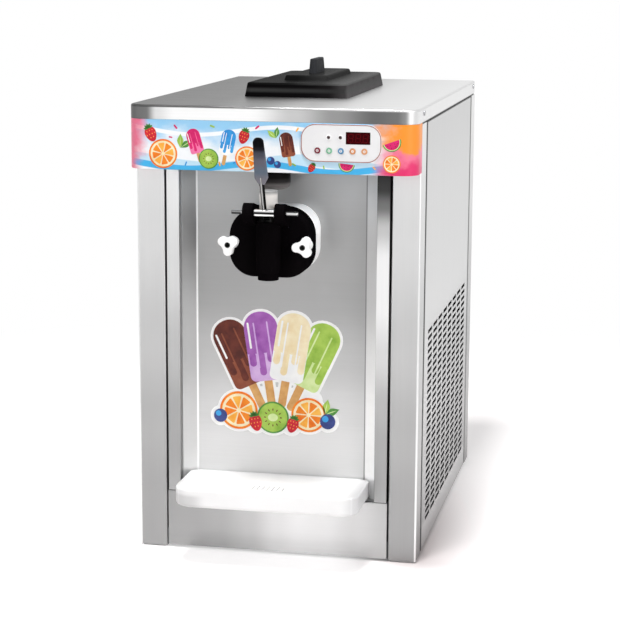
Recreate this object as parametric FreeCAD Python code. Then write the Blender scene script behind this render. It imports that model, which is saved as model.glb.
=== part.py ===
"""Counter-top soft serve machine with one draw valve.

Millimetres, +Z up, the front faces -Y. The origin is on the floor under the middle of the machine.
Depths are counted from the front plane of the corner posts, positive towards the rear.
"""
import FreeCAD
import Part
import math
import os

# Cabinet
cabinet_width = 450.0
cabinet_depth = 660.0
body_height = 714.5
foot_height = 2.5
foot_inset = 3.0
plug_height = 14.0
sheet = 1.2
fit_gap = 0.3
seam = 2.0
side_seam = 3.0
post_width = 45.0
post_depth = 48.0
post_wall = 1.5
post_radius = 3.0
panel_lift = 2.0
pan_wall = 1.5
pan_lip = 28.0

# Vent slots of the side and rear panels
slot_length = 48.0
slot_height = 6.2
slot_pitch = 59.5
slot_row_pitch = 11.0
slot_columns = 8
slot_rows = 29
rear_slot_columns = 5
slot_first_row = 45.0

# Top cover and its frame
cover_skirt = 22.0
cover_seam = 3.0
cover_edge_radius = 3.0
cover_rear_radius = 8.0
frame_wall = 2.0
frame_flange = 28.0
header_seam = 1.0
screw_radius = 2.0
screw_head_radius = 4.0
screw_head_height = 1.8
screw_length = 8.0
screw_drop = 9.0
screw_front_depth = 14.0
screw_rear_gap = 32.0
screw_clearance = 0.15

# Fascia and controls
fascia_reach = 48.0
fascia_height = 77.0
fascia_radius = 25.0
fascia_wall = 1.5
fascia_edge_radius = 1.2
control_width = 123.0
control_height = 57.0
control_corner = 22.0
control_side_gap = 54.3
control_rise = 47.0
control_thickness = 1.6
control_edge_radius = 0.6
window_margin = 6.5
button_radius = 4.5
button_clearance = 0.25
button_proud = 1.0
button_flange = 1.5
button_flange_height = 1.0
button_stem_radius = 1.8
button_pitch = 17.95
button_count = 5
button_travel = 0.6
button_drop = 11.5
display_width = 37.0
display_height = 18.0
display_sink = 0.7
display_x = 26.0
display_raise = 8.0
board_depth = 7.0
board_thickness = 1.6
board_margin = 3.0
switch_height = 2.0
switch_size = 6.0
standoff_radius = 2.5

# Recess in the front
kick_height = 93.5
kick_bend = 2.5
kick_lip = 6.0
trim_width = 21.0
trim_depth = 15.0
recess_depth = 30.0
recess_half_width = 136.0
recess_bend = 3.0

# Drip tray
tray_half_width = 146.0
tray_reach = 95.0
tray_height = 29.0
tray_corner = 30.0
tray_rear_corner = 6.0
tray_wall = 3.6
tray_ledge = 3.0
tray_edge_radius = 2.4
tray_foot_radius = 6.0
tray_side_clearance = 4.0
tray_rear_clearance = 2.0
grid_thickness = 3.0
grid_sink = 0.4
grid_clearance = 0.4
grid_slot_width = 2.4
grid_slot_length = 24.0
grid_slot_pitch = 8.0
grid_slot_count = 7
bracket_half_width = 110.0
bracket_reach = 70.0
bracket_wall = 2.0
bracket_drop = 22.0

# Freezing cylinder and beater
axis_drop = 108.0
cylinder_bore = 44.0
cylinder_wall = 2.0
cylinder_length = 320.0
cylinder_end = 6.0
block_reach = 10.0
block_half_width = 63.0
block_half_height = 52.0
block_corner = 38.0
block_edge_radius = 1.5
coil_tube_radius = 5.0
coil_pitch = 16.0
coil_turns = 14
coil_start = 46.0
coil_clearance = 0.3
insulation_half_width = 90.0
insulation_length = 250.0
shaft_radius = 9.0
shaft_clearance = 0.05
beater_bar_radius = 4.0
beater_bar_circle = 31.0
beater_arm_width = 12.0
beater_arm_thickness = 8.0
beater_arm_count = 4
beater_end_gap = 14.0
blade_reach = 43.2
blade_depth = 10.0
blade_thickness = 3.0
blade_clearance = 0.1

# Freezer door, valve and lever
door_thickness = 40.0
door_half_width = 64.0
door_half_height = 53.0
door_top_corner = 44.0
door_low_corner = 39.0
door_edge_radius = 5.0
door_plug_length = 12.0
door_plug_clearance = 0.6
nose_radius = 7.0
nose_length = 8.0
barrel_radius = 19.0
barrel_ahead = 9.0
barrel_top = 35.0
barrel_edge_radius = 3.0
spout_radius = 16.0
spout_low = 54.5
spout_step = 10.0
spout_floor = 8.0
outlet_points = 6
outlet_outer = 11.0
outlet_inner = 6.0
valve_radius = 14.0
valve_clearance = 0.15
valve_head_gap = 6.0
valve_edge_radius = 1.5
seal_depth = 1.2
seal_width = 3.0
channel_radius = 7.0
channel_drop = 39.0
gasket_radius = 48.0
gasket_width = 3.4
gasket_depth = 2.2
gasket_clearance = 0.2
stud_spread = 58.0
stud_radius = 4.0
stud_clearance = 0.2
stud_sink = 10.0
nut_reach = 34.0
nut_head = 12.0
nut_hub_radius = 9.5
nut_lobe_circle = 9.8
nut_lobe_radius = 7.0
nut_waist_radius = 12.0
nut_lobes = 3
nut_edge_radius = 2.0
nut_left_turn = 30.0
nut_right_turn = 64.0
stud_recess = 12.0
pin_radius = 2.8
pin_ahead = 34.0
pin_rise = 51.0
pin_half_length = 51.0
pin_head_radius = 3.8
pin_head_length = 18.0
pin_clearance = 0.05
lug_inner = 17.0
lug_thickness = 15.0
lug_radius = 14.5
lug_root = 24.0
lever_lean = 21.0
lever_swing = 58.0
lever_length = 125.0
lever_rod_radius = 3.6
lever_eye_radius = 6.0
lever_eye_gap = 1.5
lever_arm = 20.0
lever_arm_width = 9.0
lever_arm_thickness = 4.0
lever_tip_radius = 3.4
slot_side_clearance = 0.7
slot_tip_clearance = 3.2
grip_start = 49.0
grip_neck_width = 9.0
grip_shoulder = 10.0
grip_width = 20.4
grip_top_width = 15.4
grip_thickness = 7.0
grip_edge_radius = 2.0
grip_top_radius = 7.0
grip_socket = 12.0
grip_socket_clearance = 0.1
hood_radius = 25.0
hood_height = 28.0
hood_wall = 2.2
hood_back = 18.0
hood_edge_radius = 10.0
hood_valve_gap = 1.0

# Hopper and lid
hopper_x = -4.0
hopper_half_width = 76.5
hopper_front = 160.0
hopper_length = 325.0
hopper_corner = 12.0
hopper_wall = 1.2
hopper_flange = 5.0
hopper_flange_thickness = 1.5
feed_gap = 44.0
feed_radius = 8.0
feed_wall = 2.0
feed_rear_gap = 15.0
air_tube_radius = 5.7
air_tube_bore = 3.5
air_tube_height = 95.0
air_collar_radius = 9.0
air_collar_height = 6.0
lid_height = 22.5
lid_overhang = 10.0
lid_draft = 4.0
lid_corner = 14.0
lid_wall = 3.0
lid_edge_radius = 4.0
spine_half_width = 37.5
spine_front_inset = 75.0
spine_rear_inset = 45.0
spine_height = 8.0
spine_draft = 3.0
spine_corner = 10.0
handle_half_width = 7.0
handle_half_length = 37.0
handle_height = 24.0
handle_draft = 1.8
handle_corner = 5.0
handle_edge_radius = 2.0
handle_groove_radius = 1.4
handle_groove_count = 6

# Drive
gear_module = 1.5
gear_teeth = 75
pinion_teeth = 15
gear_width = 20.0
gear_backlash = 0.16
gear_tip_share = 0.85
gear_root_share = 1.2
gear_pressure_angle = 20.0
gear_clearance = 2.0
gearbox_wall = 5.0
gearbox_depth = 60.0
gearbox_cover = 6.0
gearbox_nose = 30.0
gearbox_nose_radius = 22.0
pinion_shaft_radius = 7.0
pulley_pitch_radius = 60.0
motor_pulley_pitch_radius = 20.0
pulley_width = 18.0
pulley_rim = 4.0
pulley_seat = 4.0
belt_thickness = 6.0
belt_width = 9.0
belt_clearance = 0.4
motor_radius = 56.0
motor_length = 150.0
motor_rise = 70.0
motor_foot_half_width = 45.0
motor_bell_radius = 48.0
motor_bell_length = 14.0
motor_shaft_radius = 8.0
motor_shaft_entry = 12.0
deck_wall = 1.5
deck_front_gap = 6.0

# Refrigeration
compressor_radius = 70.0
compressor_height = 190.0
compressor_wall_gap = 40.0
compressor_rear_gap = 60.0
compressor_edge_radius = 24.0
compressor_plate = 3.0
compressor_plate_half = 80.0
grommet_radius = 9.0
grommet_height = 12.0
condenser_wall_gap = 31.0
condenser_thickness = 44.0
condenser_front = 230.0
condenser_length = 300.0
condenser_height = 270.0
condenser_plate = 3.0
condenser_fin_pitch = 12.0
condenser_fin_depth = 3.0
shroud_wall = 3.0
shroud_collar = 16.0
fan_radius = 104.0
fan_tip_gap = 7.0
fan_hub_radius = 24.0
fan_width = 22.0
fan_blades = 5
fan_blade_thickness = 2.5
fan_blade_width = 60.0
fan_blade_tilt = 32.0
fan_shroud_gap = 6.0
fan_motor_radius = 36.0
fan_motor_length = 38.0
fan_motor_gap = 4.0
fan_shaft_radius = 4.0
fan_arm_width = 10.0
fan_arm_thickness = 4.0
fan_arm_count = 4
pipe_radius = 4.0
suction_radius = 6.0
pipe_bend = 18.0
pipe_rise = 50.0
pipe_entry = 42.0
drier_radius = 11.0
drier_length = 100.0
drier_gap = 32.0
liquid_drop = 50.0
liquid_rear = 70.0
coil_entry_depth = 199.0
suction_inset = 7.0
suction_ahead = 30.0

# Electrics
box_wall_gap = 20.0
box_width = 80.0
box_front = 80.0
box_length = 190.0
box_height = 110.0
box_wall = 1.5
box_lid = 2.0
gland_wall_gap = 85.0
gland_height = 70.0
gland_radius = 8.0
gland_bore = 4.5
gland_head_radius = 13.0
gland_head = 6.0
gland_reach = 18.0
gland_inside = 10.0

# How near an edge or a point counts as the same place
same_place = 0.01

# Levels and places worked out from the sizes above
half_width = cabinet_width / 2
top_z = foot_height + body_height
skirt_z = top_z - cover_skirt
post_top = skirt_z - cover_seam
fascia_low = skirt_z - fascia_height
fascia_top = skirt_z - fit_gap
kick_top = foot_height + kick_height
panel_low = foot_height + panel_lift
floor_z = panel_low + pan_wall
axis_z = fascia_low - axis_drop
cylinder_outer = cylinder_bore + cylinder_wall
cylinder_rear = cylinder_length - block_reach
door_front = block_reach + door_thickness
barrel_depth = -(door_front + barrel_ahead)
pin_depth = -(door_front + pin_ahead)
pin_z = axis_z + pin_rise
half_swing = math.radians(lever_swing / 2)
valve_travel = 2 * lever_arm * math.sin(half_swing)
valve_top = fascia_low - valve_head_gap - valve_travel
tip_z = pin_z - lever_arm * math.sin(half_swing)
tip_depth = pin_depth + lever_arm * math.cos(half_swing)
gear_centre = gear_module * (gear_teeth + pinion_teeth) / 2
gear_tip = gear_module * (gear_teeth / 2 + gear_tip_share)
pinion_tip = gear_module * (pinion_teeth / 2 + gear_tip_share)
deck_top = axis_z - gear_centre - pinion_tip - gear_clearance - gearbox_wall
pinion_z = axis_z - gear_centre
gearbox_front = cylinder_rear + gearbox_nose
gearbox_rear = gearbox_front + gearbox_depth
cover_rear = gearbox_rear + gearbox_cover
pulley_front = cover_rear + pulley_seat
pulley_rear = pulley_front + pulley_width
motor_z = floor_z + motor_rise
hopper_floor = axis_z + cylinder_outer + feed_gap
hopper_rear = hopper_front + hopper_length
feed_depth = cylinder_rear - feed_rear_gap
compressor_x = compressor_wall_gap + compressor_radius - half_width
compressor_depth = cabinet_depth - compressor_rear_gap - compressor_radius
condenser_inner_x = half_width - condenser_wall_gap - condenser_thickness
drier_x = condenser_inner_x - drier_gap
suction_x = compressor_x + suction_inset
suction_depth = compressor_depth - suction_ahead
box_outer_x = box_wall_gap - half_width
gland_x = gland_wall_gap - half_width
control_x = half_width - control_side_gap - control_width / 2
control_z = fascia_low + control_rise
control_back = -fascia_reach
control_front = control_back - control_thickness
lean = math.radians(lever_lean)
lever_reach = (
    (lever_length - grip_edge_radius) * math.sin(lean)
    + (grip_thickness / 2 - grip_edge_radius) * math.cos(lean)
    + grip_edge_radius
)
front_reach = lever_reach - pin_depth
front_y = (front_reach - cabinet_depth - gland_reach) / 2


def point(x, depth, z):
    """Point in the machine's frame at a depth behind the posts' front plane."""
    return FreeCAD.Vector(x, front_y + depth, z)


def box(x0, x1, d0, d1, z0, z1):
    """Box between two corners given as x, depth and height."""
    return Part.makeBox(x1 - x0, d1 - d0, z1 - z0, point(x0, d0, z0))


def rod(radius, start, stop):
    """Round bar between two points."""
    return Part.makeCylinder(radius, start.distanceToPoint(stop), start, stop - start)


def fuse(*shapes):
    """One solid from overlapping or touching shapes."""
    return shapes[0].multiFuse(list(shapes[1:])).removeSplitter()


def cut(shape, *tools):
    """The shape with every tool taken out."""
    return shape.cut(list(tools))


def group(shapes):
    """Separate solids kept together in one node."""
    return Part.makeCompound(list(shapes))


def rounded_wire(points, radii):
    """Closed wire through the points, each corner rounded by its own radius."""
    corners = []
    count = len(points)
    for i, corner in enumerate(points):
        back = (points[i - 1] - corner).normalize()
        ahead = (points[(i + 1) % count] - corner).normalize()
        radius = radii[i]
        if radius <= 0:
            corners.append((corner, None, corner))
            continue
        half = back.getAngle(ahead) / 2
        reach = radius / math.tan(half)
        centre = corner + (back + ahead).normalize() * (radius / math.sin(half))
        middle = centre + (corner - centre).normalize() * radius
        corners.append((corner + back * reach, middle, corner + ahead * reach))
    edges = []
    for i, (start, middle, stop) in enumerate(corners):
        if middle is not None:
            edges.append(Part.Arc(start, middle, stop).toShape())
        following = corners[(i + 1) % count][0]
        if not stop.isEqual(following, same_place):
            edges.append(Part.makeLine(stop, following))
    return Part.Wire(edges)


def even(radius, points):
    """The same corner radius for every point."""
    return [radius] * len(points)


def rectangle(u0, u1, v0, v1):
    """Corner pairs of a rectangle, turning the same way as every outline here."""
    return [(u0, v0), (u1, v0), (u1, v1), (u0, v1)]


def inset(points, distance):
    """Outline of (u, v) pairs moved inwards by a distance."""
    count = len(points)
    normals = []
    for i, (u, v) in enumerate(points):
        du = points[(i + 1) % count][0] - u
        dv = points[(i + 1) % count][1] - v
        length = math.hypot(du, dv)
        normals.append((-dv / length, du / length))
    moved = []
    for i, (u, v) in enumerate(points):
        nu, nv = normals[i - 1]
        mu, mv = normals[i]
        share = distance / (1 + nu * mu + nv * mv)
        moved.append((u + (nu + mu) * share, v + (nv + mv) * share))
    return moved


def plan_wire(points, radii, z):
    """Wire of an outline given as (x, depth) at a height."""
    return rounded_wire([point(x, depth, z) for x, depth in points], radii)


def plan_slab(points, radii, z0, z1):
    """Upright slab of an outline given as (x, depth)."""
    return Part.Face(plan_wire(points, radii, z0)).extrude(FreeCAD.Vector(0, 0, z1 - z0))


def front_slab(points, radii, d0, d1):
    """Slab of an outline given as (x, z), running in depth."""
    wire = rounded_wire([point(x, d0, z) for x, z in points], radii)
    return Part.Face(wire).extrude(FreeCAD.Vector(0, d1 - d0, 0))


def side_slab(points, radii, x0, x1):
    """Slab of an outline given as (depth, z), running across."""
    wire = rounded_wire([point(x0, depth, z) for depth, z in points], radii)
    return Part.Face(wire).extrude(FreeCAD.Vector(x1 - x0, 0, 0))


def loft(low, high):
    """Solid between two wires, with flat sides."""
    return Part.makeLoft([low, high], True, True)


def edges_at(shape, axis, value):
    """Edges that lie in the plane at a value of one axis, X, Y or Z."""
    found = []
    for edge in shape.Edges:
        low = getattr(edge.BoundBox, axis + "Min")
        high = getattr(edge.BoundBox, axis + "Max")
        if abs(low - value) < same_place and abs(high - value) < same_place:
            found.append(edge)
    return found


def round_plane(shape, radius, axis, value):
    """The shape with the edges of one plane rounded."""
    return shape.makeFillet(radius, edges_at(shape, axis, value))


def mirrored(shape):
    """The shape on the other side of the middle plane."""
    return shape.mirror(FreeCAD.Vector(0, 0, 0), FreeCAD.Vector(1, 0, 0))


def turned(shape, centre, axis, degrees):
    """Copy of the shape turned about an axis through a centre."""
    copy = shape.copy()
    copy.rotate(centre, axis, degrees)
    return copy


def pipe(points, radius, bend):
    """Round tube along straight runs joined by arcs."""
    edges = []
    start = points[0]
    for i in range(1, len(points) - 1):
        corner = points[i]
        back = (points[i - 1] - corner).normalize()
        ahead = (points[i + 1] - corner).normalize()
        half = back.getAngle(ahead) / 2
        reach = bend / math.tan(half)
        centre = corner + (back + ahead).normalize() * (bend / math.sin(half))
        middle = centre + (corner - centre).normalize() * bend
        edges.append(Part.makeLine(start, corner + back * reach))
        edges.append(Part.Arc(corner + back * reach, middle, corner + ahead * reach).toShape())
        start = corner + ahead * reach
    edges.append(Part.makeLine(start, points[-1]))
    section = Part.Wire(Part.Circle(points[0], points[1] - points[0], radius).toShape())
    return Part.Wire(edges).makePipeShell([section], True, True)


def slot_grid(columns, rows, middle, low):
    """Outlines of a grid of vent slots centred on a middle line."""
    slots = []
    for column in range(columns):
        u = middle + (column - (columns - 1) / 2) * slot_pitch
        for row in range(rows):
            v = low + row * slot_row_pitch
            slots.append(rectangle(u - slot_length / 2, u + slot_length / 2,
                                   v - slot_height / 2, v + slot_height / 2))
    return slots


def corner_posts():
    """Four square tubes with rounded corners."""
    posts = []
    for d0 in (0.0, cabinet_depth - post_depth):
        outline = rectangle(half_width - post_width, half_width, d0, d0 + post_depth)
        hollow = inset(outline, post_wall)
        tube = cut(plan_slab(outline, even(post_radius, outline), foot_height, post_top),
                   plan_slab(hollow, even(post_radius - post_wall, hollow), foot_height, post_top))
        posts += [tube, mirrored(tube)]
    return group(posts)


def feet():
    """Tube end glides that the posts stand on."""
    glides = []
    for d0 in (0.0, cabinet_depth - post_depth):
        outline = rectangle(half_width - post_width, half_width, d0, d0 + post_depth)
        sole = inset(outline, foot_inset)
        plug = inset(outline, post_wall + fit_gap)
        glide = fuse(plan_slab(sole, even(post_radius, sole), 0, foot_height),
                     plan_slab(plug, even(post_radius, plug), foot_height, foot_height + plug_height))
        glides += [glide, mirrored(glide)]
    return group(glides)


def pan_outline():
    """Floor outline between the panels, notched for the four posts."""
    x1 = half_width - sheet
    x0 = half_width - post_width - fit_gap
    d0 = sheet
    d1 = post_depth + fit_gap
    d2 = cabinet_depth - post_depth - fit_gap
    d3 = cabinet_depth - sheet
    right = [(x0, d0), (x0, d1), (x1, d1), (x1, d2), (x0, d2), (x0, d3)]
    left = [(-x, depth) for x, depth in reversed(right)]
    return right + left


def base_pan():
    """Floor pan with an upright lip all round."""
    outline = pan_outline()
    hollow = inset(outline, pan_wall)
    return cut(plan_slab(outline, even(0, outline), panel_low, panel_low + pan_lip),
               plan_slab(hollow, even(0, hollow), floor_z, panel_low + pan_lip))


def right_side_panel():
    """Flat side sheet with a grid of vent slots."""
    outline = rectangle(post_depth + side_seam, cabinet_depth - post_depth - side_seam, panel_low, post_top)
    x0 = half_width - sheet
    holes = slot_grid(slot_columns, slot_rows, cabinet_depth / 2, slot_first_row)
    wires = [rounded_wire([point(x0, depth, z) for depth, z in outline], even(0, outline))]
    for hole in holes:
        wires.append(rounded_wire([point(x0, depth, z) for depth, z in hole], even(slot_height / 2, hole)))
    face = Part.makeFace(wires, "Part::FaceMakerBullseye")
    return face.extrude(FreeCAD.Vector(sheet, 0, 0))


def rear_panel():
    """Rear sheet with vent slots and the hole of the cord gland."""
    reach = half_width - post_width - seam
    outline = rectangle(-reach, reach, panel_low, post_top)
    d0 = cabinet_depth - sheet
    holes = slot_grid(rear_slot_columns, slot_rows, 0, slot_first_row + gland_height)
    wires = [rounded_wire([point(x, d0, z) for x, z in outline], even(0, outline))]
    for hole in holes:
        wires.append(rounded_wire([point(x, d0, z) for x, z in hole], even(slot_height / 2, hole)))
    face = Part.makeFace(wires, "Part::FaceMakerBullseye")
    plate = face.extrude(FreeCAD.Vector(0, sheet, 0))
    return cut(plate, rod(gland_radius + fit_gap, point(gland_x, d0 - sheet, gland_height),
                          point(gland_x, cabinet_depth + sheet, gland_height)))


def kick_panel():
    """Lower front sheet, bent back at the top into a shelf for the recess."""
    reach = half_width - post_width - seam
    shelf = recess_depth + sheet + kick_lip
    profile = [(0, panel_low), (sheet, panel_low), (sheet, kick_top - sheet),
               (shelf, kick_top - sheet), (shelf, kick_top), (0, kick_top)]
    return side_slab(profile, [0, 0, kick_bend - sheet, 0, 0, kick_bend], -reach, reach)


def recess_trims():
    """Channel strips beside the recess."""
    x1 = half_width - post_width - seam
    x0 = x1 - trim_width
    profile = [(x0, 0), (x1, 0), (x1, trim_depth), (x1 - sheet, trim_depth), (x1 - sheet, sheet),
               (x0 + sheet, sheet), (x0 + sheet, trim_depth), (x0, trim_depth)]
    radii = [sheet, sheet, 0, 0, 0, 0, 0, 0]
    strip = plan_slab(profile, radii, kick_top, post_top)
    return group([strip, mirrored(strip)])


def splash_panel():
    """Recess sheet with slanted sides and the hole of the freezing cylinder."""
    x_out = half_width - post_width - seam
    x_in = x_out - trim_width
    near = [(-x_out, trim_depth), (-x_in, trim_depth), (-recess_half_width, recess_depth),
            (recess_half_width, recess_depth), (x_in, trim_depth), (x_out, trim_depth)]
    far = [(x, depth + sheet) for x, depth in reversed(near)]
    radii = [0, recess_bend, recess_bend, recess_bend, recess_bend, 0]
    plate = plan_slab(near + far, radii + radii, kick_top, post_top)
    return cut(plate, rod(cylinder_outer + fit_gap, point(0, recess_depth - sheet, axis_z),
                          point(0, recess_depth + 2 * sheet, axis_z)))


def cover_outline():
    """Plan of the top cover, which overhangs the fascia."""
    return rectangle(-half_width, half_width, -fascia_reach, cabinet_depth)


def cover_radii(distance):
    """Corner radii of the cover's plan at an inset."""
    front = fascia_radius - distance
    rear = cover_rear_radius - distance
    return [front, front, rear, rear]


def side_screw_places():
    """Depths of the screws in each side of the cover."""
    return [screw_front_depth, cabinet_depth - screw_rear_gap]


def top_cover():
    """Top sheet with a folded skirt, a hopper opening and screw holes."""
    outline = cover_outline()
    shell = plan_slab(outline, cover_radii(0), skirt_z, top_z)
    shell = round_plane(shell, cover_edge_radius, "Z", top_z)
    hollow = plan_slab(inset(outline, sheet), cover_radii(sheet), skirt_z, top_z - sheet)
    hollow = round_plane(hollow, cover_edge_radius - sheet, "Z", top_z - sheet)
    mouth = inset(hopper_outline(), -hopper_wall - fit_gap)
    opening = plan_slab(mouth, even(hopper_corner + hopper_wall + fit_gap, mouth), skirt_z, top_z)
    holes = [rod(screw_radius + screw_clearance, point(-half_width - sheet, depth, top_z - screw_drop),
                 point(half_width + sheet, depth, top_z - screw_drop)) for depth in side_screw_places()]
    return cut(shell, hollow, opening, *holes)


def upper_frame():
    """Angle ring that joins the posts under the cover, with a header sheet behind the fascia."""
    outline = rectangle(-half_width + sheet + fit_gap, half_width - sheet - fit_gap,
                        fit_gap, cabinet_depth - sheet - fit_gap)
    low = post_top
    high = top_z - sheet
    solid = plan_slab(outline, even(cover_rear_radius, outline), low, high)
    solid = round_plane(solid, cover_edge_radius - sheet, "Z", high)
    ring = cut(solid,
               plan_slab(inset(outline, frame_wall), even(cover_rear_radius - frame_wall, outline),
                         low + frame_wall, high),
               plan_slab(inset(outline, frame_flange), even(0, outline), low, high))
    header_x = half_width - post_width - seam - trim_width - header_seam
    header = box(-header_x, header_x, fit_gap, fit_gap + frame_wall, fascia_low, low + frame_wall)
    holes = [rod(screw_radius + screw_clearance, point(-half_width, depth, top_z - screw_drop),
                 point(half_width, depth, top_z - screw_drop)) for depth in side_screw_places()]
    return cut(fuse(ring, header), *holes)


def cover_screws():
    """Pan head screws through the skirt into the frame."""
    screws = []
    for depth in side_screw_places():
        z = top_z - screw_drop
        head = rod(screw_head_radius, point(half_width, depth, z),
                   point(half_width + screw_head_height, depth, z))
        head = round_plane(head, screw_head_height / 2, "X", half_width + screw_head_height)
        shank = rod(screw_radius, point(half_width - screw_length, depth, z), point(half_width, depth, z))
        screw = fuse(head, shank)
        screws += [screw, mirrored(screw)]
    return group(screws)


def fascia():
    """Rounded head shell with a floor and the opening behind the control panel."""
    outline = rectangle(-half_width, half_width, -fascia_reach, -fit_gap)
    radii = [fascia_radius, fascia_radius, 0, 0]
    shell = plan_slab(outline, radii, fascia_low, fascia_top)
    shell = round_plane(shell, fascia_edge_radius, "Z", fascia_low)
    hollow = rectangle(-half_width + fascia_wall, half_width - fascia_wall, -fascia_reach + fascia_wall, 0)
    inner = [fascia_radius - fascia_wall, fascia_radius - fascia_wall, 0, 0]
    window = inset(control_outline(), window_margin)
    return cut(shell, plan_slab(hollow, inner, fascia_low + fascia_wall, fascia_top),
               front_slab(window, even(control_corner - window_margin, window),
                          -fascia_reach, -fascia_reach + fascia_wall))


def control_outline():
    """Outline of the control panel as (x, z)."""
    return rectangle(control_x - control_width / 2, control_x + control_width / 2,
                     control_z - control_height / 2, control_z + control_height / 2)


def button_place(index):
    """Middle of one button as (x, z)."""
    return control_x + (index - (button_count - 1) / 2) * button_pitch, control_z - button_drop


def display_outline(clearance):
    """Outline of the display window as (x, z)."""
    x = control_x + display_x
    z = control_z + display_raise
    return rectangle(x - display_width / 2 - clearance, x + display_width / 2 + clearance,
                     z - display_height / 2 - clearance, z + display_height / 2 + clearance)


def control_panel():
    """Control plate with holes for the display and the buttons."""
    outline = control_outline()
    plate = front_slab(outline, even(control_corner, outline), control_front, control_back)
    plate = round_plane(plate, control_edge_radius, "Y", front_y + control_front)
    window = display_outline(fit_gap)
    holes = [rod(button_radius + button_clearance, point(x, control_front, z), point(x, control_back, z))
             for x, z in map(button_place, range(button_count))]
    return cut(plate, front_slab(window, even(0, window), control_front, control_back), *holes)


def board_front():
    """Depth of the control board's front face."""
    return control_back + board_depth


def display_module():
    """Display block that stands on the control board."""
    outline = display_outline(0)
    return front_slab(outline, even(0, outline), control_front + display_sink, board_front())


def control_board():
    """Board with a switch behind each button, on standoffs from the fascia."""
    outline = inset(control_outline(), board_margin)
    rear = board_front() + board_thickness
    pieces = [front_slab(outline, even(standoff_radius, outline), board_front(), rear)]
    half = switch_size / 2
    for index in range(button_count):
        x, z = button_place(index)
        pieces.append(box(x - half, x + half, board_front() - switch_height, rear, z - half, z + half))
    for x, z in inset(outline, standoff_radius):
        pieces.append(rod(standoff_radius, point(x, control_back + fascia_wall, z), point(x, rear, z)))
    return fuse(*pieces)


def button(index):
    """Button cap with a collar behind the plate and a stem towards its switch."""
    x, z = button_place(index)
    front = control_front - button_proud
    collar = control_back + button_clearance
    end = board_front() - switch_height - button_travel - button_clearance
    cap = rod(button_radius, point(x, front, z), point(x, collar, z))
    cap = round_plane(cap, button_proud / 2, "Y", front_y + front)
    return fuse(cap, rod(button_radius + button_flange, point(x, collar, z),
                         point(x, collar + button_flange_height, z)),
                rod(button_stem_radius, point(x, collar, z), point(x, end, z)))


def tray_outline():
    """Plan of the drip tray, with rear corners that follow the recess."""
    wall_run = half_width - post_width - seam - trim_width - recess_half_width
    slope = (recess_depth - trim_depth) / wall_run
    rear = recess_depth - tray_rear_clearance
    rear_x = recess_half_width - tray_side_clearance
    side_depth = rear - (tray_half_width - rear_x) * slope
    return [(-tray_half_width, -tray_reach), (tray_half_width, -tray_reach),
            (tray_half_width, side_depth), (rear_x, rear), (-rear_x, rear), (-tray_half_width, side_depth)]


def tray_radii(distance):
    """Corner radii of the tray's plan at an inset."""
    front = tray_corner - distance
    rear = max(tray_rear_corner - distance, tray_edge_radius)
    return [front, front, rear, rear, rear, rear]


def tray_low():
    """Height of the tray's underside."""
    return kick_top + fit_gap


def drip_tray():
    """Open tray with a ledge for its grid."""
    low = tray_low()
    high = low + tray_height
    ledge = high - grid_sink - grid_thickness
    outline = tray_outline()
    body = plan_slab(outline, tray_radii(0), low, high)
    body = round_plane(body, tray_foot_radius, "Z", low)
    body = round_plane(body, tray_edge_radius, "Z", high)
    deep = tray_wall + tray_ledge
    return cut(body, plan_slab(inset(outline, tray_wall), tray_radii(tray_wall), ledge, high),
               plan_slab(inset(outline, deep), tray_radii(deep), low + tray_wall, ledge))


def drip_grid():
    """Cover on the tray's ledge, slotted under the spout."""
    low = tray_low() + tray_height - grid_sink - grid_thickness
    margin = tray_wall + grid_clearance
    plate = plan_slab(inset(tray_outline(), margin), tray_radii(margin), low, low + grid_thickness)
    slots = []
    for index in range(grid_slot_count):
        x = (index - (grid_slot_count - 1) / 2) * grid_slot_pitch
        outline = rectangle(x - grid_slot_width / 2, x + grid_slot_width / 2,
                            barrel_depth - grid_slot_length / 2, barrel_depth + grid_slot_length / 2)
        slots.append(plan_slab(outline, even(grid_slot_width / 2, outline), low, low + grid_thickness))
    return cut(plate, *slots)


def tray_bracket():
    """Angle on the kick panel that carries the tray."""
    profile = [(0, kick_top), (-bracket_reach, kick_top), (-bracket_reach, kick_top - bracket_wall),
               (-bracket_wall, kick_top - bracket_wall), (-bracket_wall, kick_top - bracket_drop),
               (0, kick_top - bracket_drop)]
    return side_slab(profile, even(0, profile), -bracket_half_width, bracket_half_width)


def freezing_cylinder():
    """Tube with a closed rear end, a shaft hole and a feed hole."""
    front = point(0, -block_reach, axis_z)
    rear = point(0, cylinder_rear, axis_z)
    inner_rear = point(0, cylinder_rear - cylinder_end, axis_z)
    feed = rod(feed_radius - feed_wall, point(0, feed_depth, axis_z),
               point(0, feed_depth, axis_z + cylinder_outer + feed_wall))
    shaft_hole = rod(shaft_radius + shaft_clearance, inner_rear, rear)
    return cut(rod(cylinder_outer, front, rear), rod(cylinder_bore, front, inner_rear), shaft_hole, feed)


def coil_circle():
    """Radius of the evaporator coil's centre line."""
    return cylinder_outer + coil_clearance + coil_tube_radius


def evaporator_coil():
    """Tube wound round the freezing cylinder."""
    helix = Part.makeHelix(coil_pitch, coil_pitch * coil_turns, coil_circle())
    start = FreeCAD.Vector(coil_circle(), 0, 0)
    section = Part.Wire(Part.Circle(start, FreeCAD.Vector(0, 1, 0), coil_tube_radius).toShape())
    coil = Part.Wire(helix).makePipeShell([section], True, True)
    coil.rotate(FreeCAD.Vector(0, 0, 0), FreeCAD.Vector(1, 0, 0), -90)
    coil.translate(point(0, coil_start + coil_tube_radius, axis_z))
    return coil


def coil_outer():
    """Outer radius of the evaporator coil."""
    return coil_circle() + coil_tube_radius


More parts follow.
